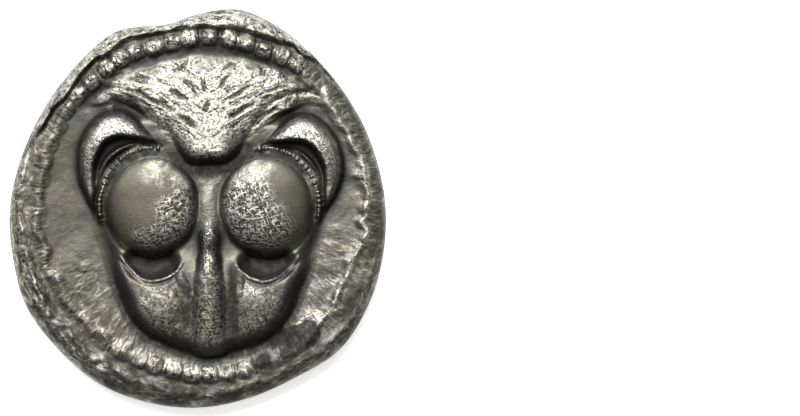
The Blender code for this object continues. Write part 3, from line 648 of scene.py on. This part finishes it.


# Upper face above its field: a dish that rises with the 2.5th power of the way out, flow ridges and ripples,
# the scalp joined on, then beads, ragged ridge and rough rim. Also gives the shares that the finish reads:
# hair (fur), crystalline metal with a painted highlight on the rim's upper side (bare), rubbed metal with
# painted highlights (worn), brown skin, toning and painted shade (deep), flowed metal (ring).
def obverseHeight(x, y):
    look = coinLook
    offX, offY = look["obverseDieOffset"]
    u = (x - offX) / look["obverseDieRadius"] + 0.0045 * roughNoise(x, y, 0.9, 91, 2)
    v = (y - offY) / look["obverseDieRadius"] + 0.0045 * roughNoise(x, y, 0.9, 95, 2)
    out = np.hypot(u, v)
    turn = np.arctan2(v, u)
    degrees = np.degrees(turn) % 360.0
    field = look["obverseDish"] * np.minimum(out, 1.0) ** 2.5 + unevenness(x, y, 0.0)
    # Metal that flowed outwards under the die left short ridges that all point at the middle
    flow = latticeNoise(turn * 28.0, out * 5.5, 1.0, 81)
    flow = flow + 0.6 * latticeNoise(turn * 60.0, out * 9.0, 1.0, 82)
    low = arc(degrees, 190.0, 215.0, 345.0, 355.0)
    field = field + look["flowRise"] * flow * ramp(out, 0.66, 0.86) * low
    calm = 1.0 - 0.6 * ramp(u, -0.20, -0.50)
    field = field + look["fieldRoughness"] * calm * roughNoise(x, y, 0.8, 83, 3)
    # Two groups of short ripples in the calm field left of the mask
    ripples = np.sin(70.0 * v + 25.0 * u + 2.0 * roughNoise(x, y, 0.7, 117, 2))
    for middle in ((-0.735, -0.355), (-0.705, -0.540)):
        group = spot(u, v, middle, (0.055, 0.085), 20.0, 0.0, 1.0, 0.4)
        field = field + look["rippleRise"] * ripples * group
    scalp, layers = lionScalp(u - maskAxis, v)
    height = join(field, look["maskRelief"] * scalp, look["obverseDish"] / 4)

    # A low ridge runs under the beads; where they were struck flat it is ragged and stands alone
    right = np.where(degrees > 180.0, ramp(degrees, 300.0, 325.0), ramp(degrees, 60.0, 35.0))
    left = arc(degrees, 160.0, 175.0, 220.0, 235.0)
    ragged = 0.018 * latticeNoise(turn * 9.0, turn * 0.0, 1.0, 84) + 0.012 * latticeNoise(x, y, 0.5, 85)
    ragged = ragged + 0.013 * right * latticeNoise(turn * 30.0, out * 6.0, 1.0, 111)
    ridge = bell((out - look["beadCircle"] + 0.045 * right - ragged) / 0.030)
    alone = np.maximum(right, 0.35 * left) * (0.8 + 0.6 * latticeNoise(x, y, 0.35, 86))
    height = height + ridge * (0.07 + look["ridgeRise"] * alone)
    beads = beadRing(u, v)
    height = height + look["beadRise"] * beads

    # Over the crown the rim's inner wall stands above a trough in which the beads lie
    overCrown = arc(degrees, 35.0, 60.0, 140.0, 170.0)
    height = height - look["troughDepth"] * overCrown * bell((out - 1.03) / 0.025)
    uneven = 0.86 + 0.14 * np.sin(turn) + 0.07 * np.sin(5.0 * turn + 1.0) + 0.05 * np.sin(11.0 * turn)
    wander = 0.012 * np.sin(7.0 * turn) + 0.018 * latticeNoise(turn * 14.0, turn * 0.0, 1.0, 87)
    rim = ease((out - 1.040 - wander) / (0.065 - 0.03 * overCrown))
    height = height * (1.0 - rim) + look["obverseRimRise"] * (uneven + 0.12 * overCrown) * rim
    # The rim's own skin: lumps, pits and long wavy folds that follow it round
    weave = 1.2 * latticeNoise(turn * 5.0, out * 3.0, 1.0, 90)
    folds = latticeNoise(turn * 9.0, out * 36.0 + weave, 1.0, 89)
    lumps = np.abs(roughNoise(x, y, 0.60, 88, 3)) - 0.35
    height = height + rim * (look["rimLumps"] * lumps + look["rimFolds"] * folds)

    # Hair above a line that climbs steeply beside the tuft and then slowly, frayed at its upper end
    sideX = np.abs(u - maskAxis)
    furEdge = np.minimum(0.04 + 1.3 * sideX, 0.38 + 0.35 * sideX)
    upperEnd = 0.95 - v - 0.5 * sideX ** 2 + 0.10 * roughNoise(u, v, 0.09, 105, 3)
    fur = ramp(v - furEdge, 0.0, 0.07) * ramp(scalp, 0.05, 0.17) * ramp(upperEnd, 0.0, 0.16)
    skin = layers["skin"]
    brightest = layers.pop("brightest")
    # Ear lips: rubbed high metal, with a painted highlight that is strongest near their tops and fades down
    # their sides
    lips = ramp(scalp, 0.42, 0.57) * arc(v, -0.10, 0.10, 0.50, 0.56) * (1.0 - fur) * (1.0 - skin)
    lips = lips * ramp(sideX, 0.28, 0.36) * (0.45 + 0.55 * ramp(v, 0.12, 0.38))
    tip = ramp(v, 0.46, 0.32) * fur
    layers["fur"] = fur * (1.0 - 0.75 * tip)

    # Crystalline metal on what stands high, less on the snout and cheeks, and on the rim and the ridge, with
    # a painted highlight there that is strongest on the upper side, which faces the light
    upwards = 0.5 + 0.5 * np.sin(turn)
    cheeks = ramp(v, -0.35, -0.43) * ramp(sideX, 0.10, 0.16)
    beadTops = ramp(beads, 0.35, 0.75)
    raised = ramp(scalp, 0.50, 0.80) * (1.0 - skin) * (1.0 - fur + 0.8 * tip)
    bare = raised * (0.85 - 0.20 * ramp(v, -0.28, -0.34) - 0.28 * cheeks)
    bare = unit(bare + (0.15 + 0.45 * upwards) * highest(rim, 0.4 * ridge) + 0.6 * beadTops)
    layers["bare"] = bare

    # Rubbed metal on lips, lids and beads, and a little on the field's right and lower parts; a painted
    # highlight on the lips' upper parts and on the rim's upper side, and a painted glint in the field low on
    # the right
    openField = ramp(scalp, 0.03, 0.0) * (1.0 - rim)
    rubbedField = 0.16 * openField * ramp(0.7 * u - 0.5 * v, 0.0, 0.5)
    rubbedField = rubbedField * (1.0 + roughNoise(x, y, 0.9, 109, 2))
    # The rim's share rises towards its upper side: a painted highlight where it faces the light
    worn = highest(0.75 * lips, brightest) + 0.45 * rim * upwards ** 2
    worn = worn + 0.30 * beadTops + 0.5 * right * ridge
    glint = spot(u, v, (0.60, -0.68), (0.13, 0.06), 40.0, 0.3 * roughNoise(x, y, 0.5, 115, 2), 0.9, 0.5)
    layers["worn"] = highest(unit(worn + rubbedField), 0.8 * glint)
    leftField = openField * ramp(u, -0.20, -0.50)
    layers["skin"] = highest(skin * (1.0 - brightest), 0.6 * leftField * (1.0 - bare))

    # Painted shade on the right and lower rim, which turns away from the light, and in the trough between the
    # mane and the beads; toning in a dark patch below right of the mask
    lowerRight = ramp(0.55 * u - v, -0.10, 0.65) * ramp(out + 0.03 * right - ragged, 0.995, 1.025)
    patch = spot(u, v, (0.47, -0.815), (0.27, 0.105), 24.0, 0.25 * roughNoise(x, y, 0.6, 113, 2), 1.0, 0.6)
    tonedAndShaded = 0.64 * highest(lowerRight, 2.9 * patch) * unit(0.65 + 0.5 * roughNoise(x, y, 0.8, 101, 2))
    troughShade = bell((out - 0.925) / 0.030) * arc(degrees, 40.0, 55.0, 135.0, 150.0)
    troughShade = troughShade * unit(0.80 + 0.5 * roughNoise(x, y, 0.7, 119, 3))
    layers["deep"] = unit(highest(layers["deep"], tonedAndShaded, troughShade))
    layers["ring"] = unit(ramp(out, 0.92, 0.98) + 0.7 * low * ramp(out, 0.66, 0.76))

    rough = roughNoise(x, y, 0.45, 99, 3) * (1.0 - 0.75 * skin) * (1.0 - 0.5 * leftField)
    height = height + look["skinRoughness"] * rough
    height = height + look["skinGrain"] * latticeNoise(x, y, 0.17, 107) * unit(bare + fur + lips)
    return height, layers


# The seated figure in shares of its relief: slabs, bars and knobs joined, with folds of cloth on top
def seatedFigure(s, t):
    forms = [slab(s, t, outline, height, rounding) for outline, height, rounding in figureSlabs]
    for points, widths, heights in figureBars:
        forms.append(bar(s, t, spline(np.column_stack([points, widths, heights]), closed=False)))
    for centre, radii, height in figureKnobs:
        forms.append(height * dome(ellipse(s, t, (centre, radii))))
    figure = np.zeros(s.shape)
    for form in forms:
        figure = join(figure, form, 0.05)
    for points in draperyFolds:
        figure = figure + strand(s, t, points, 0.026, 0.16)
    return figure


# Lower face above its field, towards the table: a dish that rises with the 2.5th power of the way out,
# scuffed and pitted, then figure, strokes, cuts and rim, cut off flat where the coin lies. Also gives the
# shares that the finish reads: crystalline metal (bare), rubbed metal with a painted highlight on the upper
# rim (worn), brown stain (stain) and painted shade (deep).
def reverseHeight(x, y):
    look = coinLook
    c = math.cos(math.radians(look["dieAxis"]))
    s = math.sin(math.radians(look["dieAxis"]))
    offX, offY = look["reverseDieOffset"]
    right = (x * c + y * s - offX) / look["reverseDieRadius"] + 0.009 * roughNoise(x, y, 1.0, 191, 3)
    up = (x * s - y * c - offY) / look["reverseDieRadius"] + 0.009 * roughNoise(x, y, 1.0, 195, 3)
    out = np.hypot(right, up)
    dish = look["reverseDish"]
    field = 0.4 * dish * np.minimum(out, 1.0) ** 2.5 + unevenness(x, y, 2.0)
    # Long low scuffs across the field, and pits
    scuffs = latticeNoise(right * 2.2 + up * 0.8, up * 9.0 - right * 3.5, 0.55, 181)
    scuffs = scuffs + 0.7 * latticeNoise(right * 4.0 + up * 1.6, up * 19.0 - right * 7.6, 0.55, 183)
    field = field + look["scuffRise"] * scuffs + look["pitting"] * roughNoise(x, y, 1.2, 182, 4)
    figure = seatedFigure(right, up)
    relief = look["figureRelief"] * figure * (1.0 + 0.18 * roughNoise(x, y, 0.8, 184, 3))
    height = field + relief + look["strokeRelief"] * tallestStrand(right, up, legendStrokes, 0.026)
    cuts = highest(*[share * strand(right, up, points, width, 1.0) for points, width, share in figureCuts])
    height = height - look["cutDepth"] * cuts
    rim = ramp(out - 0.05 * roughNoise(x, y, 1.6, 193, 3), 0.80, 0.98)
    height = height * (1.0 - rim) + (1.1 * dish + 0.07 * roughNoise(x, y, 0.7, 186, 4)) * rim

    # Painted highlight on the upper rim and bright worn metal on chest and lap; a brown stain down the left;
    # painted shade on the lower edge, under the top and in the cuts
    patchy = roughNoise(x, y, 1.3, 188, 4)
    bare = highest(ramp(figure, 0.30, 0.70), 0.9 * rim) + 0.30 * ramp(patchy, 0.10, 0.60)
    top = ramp(up + 0.2 * right, 0.05, 0.80) * ramp(out, 0.93, 1.01)
    chest = spot(right, up, (0.40, 0.33), (0.26, 0.17), -25.0, 0.3 * patchy, 1.0, 0.5)
    lap = spot(right, up, (0.08, -0.08), (0.32, 0.15), -35.0, 0.3 * patchy, 1.0, 0.5)
    worn = unit(highest(highest(top, 0.75 * chest, 0.75 * lap) * (0.75 + 0.3 * patchy), 0.35 * rim))
    stain = unit(bar(right, up, spline(leftStain, closed=False)) * (0.9 + 0.6 * patchy))
    underTop = bar(right, up, spline(upperShade, closed=False)) * (0.8 + 0.6 * patchy)
    # Painted shade along the lower edge, which turns away from the light
    edge = out + 0.07 * ramp(right, -0.10, 0.40) + 0.03 * patchy
    lowerEdge = ramp(-up, 0.15, 0.50) * ramp(edge, 1.03, 1.08)
    deep = unit(highest(0.85 * cuts, 0.60 * underTop, 0.80 * lowerEdge))
    bare = unit(bare) * (1.0 - 0.85 * stain) * (1.0 - deep)
    worn = worn * (1.0 - 0.7 * stain) * (1.0 - deep)
    return np.minimum(height, dish), {"bare": bare, "worn": worn, "stain": stain, "deep": deep}


# Outline's radius in each direction, from a Catmull-Rom curve through flanOutline
def flanRadius(angle):
    degrees, radii = np.array(flanOutline, float).T
    degrees = np.append(degrees, 360.0)
    here = np.degrees(angle) % 360.0
    k = np.clip(np.searchsorted(degrees, here, side="right") - 1, 0, len(radii) - 1)
    t = (here - degrees[k]) / (degrees[k + 1] - degrees[k])
    a, b, c, d = (np.roll(radii, shift)[k] for shift in (1, 0, -1, -2))
    cubic = (3 * b - a - 3 * c + d) * t + (2 * a - 5 * b + 4 * c - d)
    return 0.5 * ((cubic * t + (c - a)) * t + 2 * b)


# Square grid spread over the flan: each side shrinks by the root of 1 - half the other's square, which makes
# a disc, its rings a little closer in the middle, and the disc is stretched to the outline's radius. Gives x,
# y and the distance in from the edge.
def flanPlan(gridX, gridY):
    discX = gridX * np.sqrt(1.0 - gridY * gridY / 2.0)
    discY = gridY * np.sqrt(1.0 - gridX * gridX / 2.0)
    angle = np.arctan2(discY, discX)
    ring = np.hypot(discX, discY)
    share = 0.92 * ring + 0.08 * ring ** 3

    turn = np.linspace(0.0, 2.0 * math.pi, 720, endpoint=False)
    edgeX = flanRadius(turn) * np.cos(turn)
    edgeY = flanRadius(turn) * np.sin(turn)
    scaleX = coinLook["width"] / np.ptp(edgeX)
    scaleY = coinLook["length"] / np.ptp(edgeY)
    middleX = (edgeX.max() + edgeX.min()) / 2
    middleY = (edgeY.max() + edgeY.min()) / 2

    radius = flanRadius(angle)
    x = (share * radius * np.cos(angle) - middleX) * scaleX
    y = (share * radius * np.sin(angle) - middleY) * scaleY
    inset = (1.0 - share) * radius * np.hypot(scaleX * np.cos(angle), scaleY * np.sin(angle))
    return x, y, inset


# Each grid point's weighted mean of its neighbours, with a bell curve of the given width in squares
def blurred(grid, width):
    steps = np.arange(len(grid))
    weights = np.exp(-0.5 * ((steps[:, None] - steps) / width) ** 2)
    weights = weights / weights.sum(1, keepdims=True)
    return weights @ grid @ weights.T


# How far each point lies below its near and its wider surroundings, in shares of the relief, from 0 to 1
def hollows(height, relief):
    square = coinLook["length"] / len(height)
    shares = []
    for reach, full in (coinLook["nearHollow"], coinLook["wideHollow"]):
        shares.append(unit((blurred(height, reach / square) - height) / (full * relief)))
    return unit(0.22 * shares[0] + shares[1])


# Height gained for each step sideways, from the differences between neighbours on the bent grid
def steepness(x, y, height):
    xi, xj = np.gradient(x)
    yi, yj = np.gradient(y)
    hi, hj = np.gradient(height)
    area = xi * yj - xj * yi
    area = np.where(np.abs(area) < 1e-6, 1e-6, area)
    return np.hypot((hi * yj - hj * yi) / area, (hj * xi - hi * xj) / area)


# One face of the coin: the carved height above its level, rounded off to the edge's level at the outline.
# Gives its grid of points and what the finish reads at each, hollow and steep places from the height too.
def strikeFace(squares, carve, relief, faceLevel, downwards):
    line = np.linspace(-1.0, 1.0, squares + 1)
    gridX, gridY = np.meshgrid(line, line, indexing="ij")
    x, y, inset = flanPlan(gridX, gridY)
    rounding = quarterRound(inset, coinLook["edgeRounding"])
    height, layers = carve(x, y)
    edgeLevel = (coinLook["reverseDish"] + coinLook["fieldThickness"] + coinLook["obverseRimRise"]) / 2
    level = faceLevel - height if downwards else faceLevel + height
    z = edgeLevel + (level - edgeLevel) * rounding
    layers["hollow"] = hollows(height * rounding, relief)
    # Steep places, which the finish darkens as painted shade on the walls
    broad = blurred(height, 0.13 * squares / coinLook["length"])
    layers["steep"] = ramp(steepness(x, y, broad), *coinLook["steepSlope"])
    layers["underside"] = np.full(x.shape, float(downwards))
    return np.dstack([x, y, z]), layers


def buildCoin():
    upperN = coinLook["upperSquares"]
    lowerN = coinLook["lowerSquares"]
    fieldLevel = coinLook["reverseDish"] + coinLook["fieldThickness"]
    top, topLayers = strikeFace(upperN, obverseHeight, coinLook["maskRelief"], fieldLevel, False)
    print("upper face struck")
    relief = 1.7 * coinLook["figureRelief"]
    bottom, bottomLayers = strikeFace(lowerN, reverseHeight, relief, coinLook["reverseDish"], True)
    print("lower face struck")

    # The lower grid is half as fine. Its border is every second point of the upper one's.
    upper = np.arange((upperN + 1) ** 2).reshape(upperN + 1, upperN + 1)
    inner = np.zeros((lowerN + 1, lowerN + 1), bool)
    inner[1:-1, 1:-1] = True
    lower = upper[::2, ::2].copy()
    lower[inner] = upper.size + np.arange((lowerN - 1) ** 2)
    corners = np.dstack([lower[:-1, :-1], lower[:-1, 1:], lower[1:, 1:], lower[1:, :-1]])
    up = np.dstack([upper[:-1, :-1], upper[1:, :-1], upper[1:, 1:], upper[:-1, 1:]]).reshape(-1, 4).tolist()
    # A lower square on the border takes the upper point between two of its corners as well
    between = {(int(a), int(b)): int(m) for row in (upper[0], upper[-1], upper[:, 0], upper[:, -1])
               for a, m, b in zip(row[:-2:2], row[1:-1:2], row[2::2])}
    between.update({(b, a): m for (a, b), m in between.items()})
    down = []
    for face in corners.reshape(-1, 4).tolist():
        ring = []
        for a, b in zip(face, face[1:] + face[:1]):
            ring += [a, between[a, b]] if (a, b) in between else [a]
        down.append(ring)

    places = np.vstack([top.reshape(-1, 3), bottom[inner]]) * 0.001
    mesh = bpy.data.meshes.new("struckCoin")
    mesh.from_pydata(places, [], up + down)
    mesh.shade_smooth()
    plainTop = np.zeros(upper.shape)
    plainBottom = np.zeros(lower.shape)
    for name in ("fur", "bare", "worn", "skin", "deep", "ring", "stain", "hollow", "steep", "underside"):
        values = topLayers.get(name, plainTop).ravel(), bottomLayers.get(name, plainBottom)[inner]
        layer = mesh.attributes.new(name, "FLOAT", "POINT")
        layer.data.foreach_set("value", np.concatenate(values).astype(np.float32))
    coin = bpy.data.objects.new("struckCoin", mesh)
    bpy.context.scene.collection.objects.link(coin)
    print("coin meshed:", sum(len(face) - 2 for face in up + down), "triangles")
    return coin


# One number or colour in a material: writing sums with it adds the nodes
class Wire:
    def __init__(self, finish, socket):
        self.finish = finish
        self.socket = socket

    def math(self, operation, other, swapped=False):
        values = [other, self] if swapped else [self, other]
        return self.finish.node("ShaderNodeMath", {"operation": operation}, values)

    def __add__(self, other):
        return self.math("ADD", other)

    __radd__ = __add__

    def __sub__(self, other):
        return self.math("SUBTRACT", other)

    def __rsub__(self, other):
        return self.math("SUBTRACT", other, swapped=True)

    def __mul__(self, other):
        return self.math("MULTIPLY", other)

    __rmul__ = __mul__

    def part(self, axis):
        return self.finish.node("ShaderNodeSeparateXYZ", {}, [self], output=axis)

    # Smooth step from 0 at low to 1 at high
    def between(self, low, high):
        settings = {"interpolation_type": "SMOOTHSTEP"}
        inputs = {"Value": self, "From Min": low, "From Max": high, "To Min": 0.0, "To Max": 1.0}
        return self.finish.node("ShaderNodeMapRange", settings, inputs)


class Finish:
    def __init__(self, name):
        self.material = bpy.data.materials.new(name)
        self.material.use_nodes = True
        self.tree = self.material.node_tree
        self.shader = self.tree.nodes["Principled BSDF"]

    def node(self, kind, settings=None, inputs=(), output=0):
        made = self.tree.nodes.new(kind)
        for key, value in (settings or {}).items():
            setattr(made, key, value)
        pairs = inputs.items() if isinstance(inputs, dict) else enumerate(inputs)
        for key, value in pairs:
            if isinstance(value, Wire):
                self.tree.links.new(value.socket, made.inputs[key])
            else:
                made.inputs[key].default_value = value
        return Wire(self, made.outputs[output])

    # Colour a where mask is 0 and b where it is 1
    def mix(self, mask, a, b):
        settings = {"data_type": "RGBA", "clamp_factor": True}
        return self.node("ShaderNodeMix", settings, {0: mask, 6: a, 7: b}, output=2)

    def attribute(self, name):
        return self.node("ShaderNodeAttribute", {"attribute_name": name}, output="Fac")

    def noise(self, place, size, detail=2.0, distortion=0.0):
        inputs = {"Vector": place, "Scale": 1.0 / size, "Detail": detail, "Distortion": distortion}
        return self.node("ShaderNodeTexNoise", {}, inputs, output="Fac")

    def vector(self, x, y, z):
        return self.node("ShaderNodeCombineXYZ", {}, [x, y, z])

    # Noise after a turn, drawn out along one axis
    def drawnOut(self, place, size, turn, stretch):
        inputs = {"Vector": place, "Rotation": (0.0, 0.0, turn), "Scale": (1.0, stretch, 1.0)}
        return self.noise(self.node("ShaderNodeMapping", {"vector_type": "TEXTURE"}, inputs), size, 1.0, 0.3)

    def feed(self, socket, value):
        if isinstance(value, Wire):
            self.tree.links.new(value.socket, self.shader.inputs[socket])
        else:
            self.shader.inputs[socket].default_value = value


# Toned silver: colours are linear, sizes in metres, turns in radians, scales in waves a die unit
silverLook = {
    "hollowDirtAndShade": (0.012, 0.011, 0.009, 1.0),
    "wallShade": (0.032, 0.032, 0.033, 1.0),
    "coolTone": (0.120, 0.120, 0.106, 1.0),
    "warmTone": (0.138, 0.130, 0.104, 1.0),
    "brownSkin": (0.120, 0.112, 0.086, 1.0),
    "sandTone": (0.250, 0.232, 0.188, 1.0),
    "slateTone": (0.120, 0.120, 0.118, 1.0),
    "brownStain": (0.060, 0.048, 0.036, 1.0),
    "scuffSize": 0.00016,
    "scuffTurn": -0.38,
    "scuffStretch": 5.0,
    "bareSilver": (0.720, 0.695, 0.610, 1.0),
    "crystalSize": 0.000084,
    "crystalTurns": (0.35, 1.80),
    "crystalStretch": 3.6,
    "hairScale": (12.0, 50.0, 4.0),
    "flowScale": (38.0, 15.0),
    "rimScale": (14.0, 36.0),
    "frostSize": 0.00011,
    "grainSize": 0.00028,
    "mottleSize": 0.0016,
    "roughness": 0.47,
    "bumpStrength": 0.8,
    "bumpDepth": 0.00003,
}


def silverFinish():
    look = silverLook
    finish = Finish("toned silver")
    place = finish.node("ShaderNodeTexCoord", {}, output="Object")
    names = ("fur", "bare", "worn", "skin", "deep", "ring", "stain", "hollow", "steep", "underside")
    fur, bare, worn, skin, deep, ring, stain, hollow, steep, underside = map(finish.attribute, names)

    # Place on the upper die in its own units, with the mask's middle line at 0
    radius = coinLook["obverseDieRadius"] * 0.001
    offX, offY = coinLook["obverseDieOffset"]
    u = (place.part(0) - offX * 0.001) * (1.0 / radius)
    v = (place.part(1) - offY * 0.001) * (1.0 / radius)
    out = (u * u + v * v).math("SQRT", 0.0)
    sideX = (u - maskAxis).math("ABSOLUTE", 0.0)

    mottle = finish.noise(place, look["mottleSize"], 3.0)
    grain = finish.noise(place, look["grainSize"], 3.0)
    frost = finish.noise(place, look["frostSize"], 2.0).between(0.36, 0.60)
    # Hair: a noise drawn out along the hair's lines, which rise by 0.72 of the way out less 0.44 of its
    # square
    climb = v - sideX * 0.72 + sideX * sideX * 0.44
    hairAcross, hairUp, hairSide = look["hairScale"]
    hair = finish.vector(sideX * hairAcross, climb * hairUp, u * hairSide)
    hair = finish.noise(hair, 1.0, 3.0, 0.7)
    # Flow: a noise on the unit circle, drawn out along the radius, but round the rim in its outermost band
    bands = []
    for roundScale, outScale in (look["flowScale"], look["rimScale"]):
        circleX = u.math("DIVIDE", out) * roundScale
        circleY = v.math("DIVIDE", out) * roundScale
        bands.append(finish.noise(finish.vector(circleX, circleY, out * outScale), 1.0, 3.0, 1.2))
    outermost = out.between(1.00, 1.07)
    waves = bands[0] * (1.0 - outermost) + bands[1] * outermost
    # Crystals: fine bright bars in two directions that cross each other
    oneWay, otherWay = (finish.drawnOut(place, look["crystalSize"], turn, look["crystalStretch"])
                        for turn in look["crystalTurns"])
    crystal = oneWay.between(0.53, 0.59).math("MAXIMUM", otherWay.between(0.53, 0.59)) * (0.50 + grain * 1.1)

    tone = finish.mix(mottle.between(0.40, 0.60), look["coolTone"], look["warmTone"])
    tone = finish.mix(skin * (0.35 + grain * 0.9), tone, look["brownSkin"])
    # Underneath, sandy and slate patches under scuffs that all run one way
    patches = finish.noise(place, look["mottleSize"] * 1.4, 5.0, 0.6)
    sandy = finish.mix(patches.between(0.47, 0.60), look["slateTone"], look["sandTone"])
    tone = finish.mix(underside, tone, sandy)
    tone = finish.mix(stain * 0.85, tone, look["brownStain"])
    scuffs = finish.drawnOut(place, look["scuffSize"], look["scuffTurn"], look["scuffStretch"])
    # Rubbed metal with its painted highlights, and worn fur, turn towards bare silver
    rubbedAndHighlit = (worn * 0.75).math("MAXIMUM", fur * 0.65) * (0.30 + frost * 0.70)
    colour = finish.mix(rubbedAndHighlit, tone, look["bareSilver"])
    lines = crystal * (bare * 0.48 + grain.between(0.52, 0.72) * 0.12 * (1.0 - skin))
    colour = finish.mix(lines, colour, look["bareSilver"])
    pits = (1.0 - crystal) * bare * 0.66 + (1.0 - frost) * fur * 0.30
    streaks = hair.between(0.50, 0.38) * fur * 0.66 + waves.between(0.48, 0.36) * ring * 0.55
    darkScuffs = scuffs.between(0.46, 0.32) * 0.35 + grain.between(0.42, 0.30) * 0.30
    pits = pits * (1.0 - underside * 0.45)
    colour = finish.mix(pits + streaks + darkScuffs * underside, colour, look["hollowDirtAndShade"])
    brightScuffs = scuffs.between(0.56, 0.70) * (1.0 - stain) * 0.30
    colour = finish.mix(brightScuffs * underside, colour, look["bareSilver"])
    colour = finish.mix(waves.between(0.54, 0.66) * ring * 0.40, colour, look["bareSilver"])
    # Painted shade: steep walls are darkened towards the wall shade colour
    colour = finish.mix(steep * (0.45 + grain * 0.75), colour, look["wallShade"])
    # Toning and painted shade from the deep share, and patina with painted shade in the hollows, darken the
    # colour, make it less metallic and rougher
    tonedAndShaded = deep.between(0.0, 0.80) * (0.55 + grain * 0.70)
    shadeAndToning = (hollow.between(0.12, 0.95) * 0.85).math("MAXIMUM", tonedAndShaded)
    colour = finish.mix(shadeAndToning, colour, look["hollowDirtAndShade"])
    finish.feed("Base Color", colour)
    finish.feed("Metallic", 1.0 - shadeAndToning * 0.5)
    finish.feed("Roughness", look["roughness"] - lines * 0.08 + shadeAndToning * 0.2 + skin * 0.12)

    relief = crystal * (bare * (0.7 - underside * 0.25) + 0.10)
    relief = relief + grain * (0.45 + bare * 0.5 - skin * 0.25) + frost * (fur + worn) * 0.5
    relief = relief + hair * fur * 1.6 + waves * ring * 1.1 + scuffs * underside * 0.9
    inputs = {"Strength": look["bumpStrength"], "Distance": look["bumpDepth"], "Height": relief}
    finish.feed("Normal", finish.node("ShaderNodeBump", {}, inputs))
    return finish.material


# The floor: half its side in metres, and a paint that glows a little, so that it comes out white
floorLook = {
    "halfSide": 2.0,
    "colour": (0.93, 0.93, 0.92, 1.0),
    "roughness": 0.9,
    "glow": 0.60,
}


def addStage():
    size = floorLook["halfSide"]
    corners = [(-size, -size, 0.0), (size, -size, 0.0), (size, size, 0.0), (-size, size, 0.0)]
    mesh = bpy.data.meshes.new("paleFloor")
    mesh.from_pydata(corners, [], [(0, 1, 2, 3)])
    floor = bpy.data.objects.new("paleFloor", mesh)
    bpy.context.scene.collection.objects.link(floor)
    paint = Finish("pale floor")
    paint.feed("Base Color", floorLook["colour"])
    paint.feed("Roughness", floorLook["roughness"])
    paint.feed("Emission Color", (1.0, 1.0, 1.0, 1.0))
    paint.feed("Emission Strength", floorLook["glow"])
    mesh.materials.append(paint.material)


# Lights and camera: metres and watts, the lens in millimetres. The picture is frameWidth wide at frameLevel.
studio = {
    "skyStrength": 0.10,
    "keyPlace": (-0.10, 0.40, 0.42),
    "keySize": 0.50,
    "keyPower": 8.0,
    "fillPlace": (0.00, 0.05, 0.70),
    "fillSize": 0.40,
    "fillPower": 0.9,
    "frameWidth": 0.0380,
    "frameLevel": 0.0015,
    "lens": 200.0,
    "middle": (0.00964, 0.00002),
}


# A square lamp that points at the middle of the floor
def addLight(name, place, size, power):
    data = bpy.data.lights.new(name, "AREA")
    data.size = size
    data.energy = power
    light = bpy.data.objects.new(name, data)
    light.location = place
    x, y, z = place
    light.rotation_euler = (math.atan2(math.hypot(x, y), z), 0.0, math.atan2(y, x) + math.pi / 2)
    bpy.context.scene.collection.objects.link(light)
    return light


def addStudio():
    world = bpy.data.worlds.new("studio")
    world.use_nodes = True
    sky = world.node_tree.nodes["Background"]
    sky.inputs["Color"].default_value = (1.0, 1.0, 1.0, 1.0)
    sky.inputs["Strength"].default_value = studio["skyStrength"]
    bpy.context.scene.world = world
    addLight("key", studio["keyPlace"], studio["keySize"], studio["keyPower"])
    addLight("fill", studio["fillPlace"], studio["fillSize"], studio["fillPower"])

    data = bpy.data.cameras.new("overhead")
    data.lens = studio["lens"]
    data.clip_start = 0.01
    camera = bpy.data.objects.new("overhead", data)
    height = studio["frameWidth"] * data.lens / data.sensor_width
    camera.location = (*studio["middle"], height + studio["frameLevel"])
    bpy.context.scene.collection.objects.link(camera)
    bpy.context.scene.camera = camera
    bpy.context.scene.view_settings.view_transform = "Standard"


coin = buildCoin()
coin.data.materials.append(silverFinish())
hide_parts("coin")
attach(coin, "root")
print("silver finish on")

addStage()
addStudio()
print("floor, lights and camera placed")
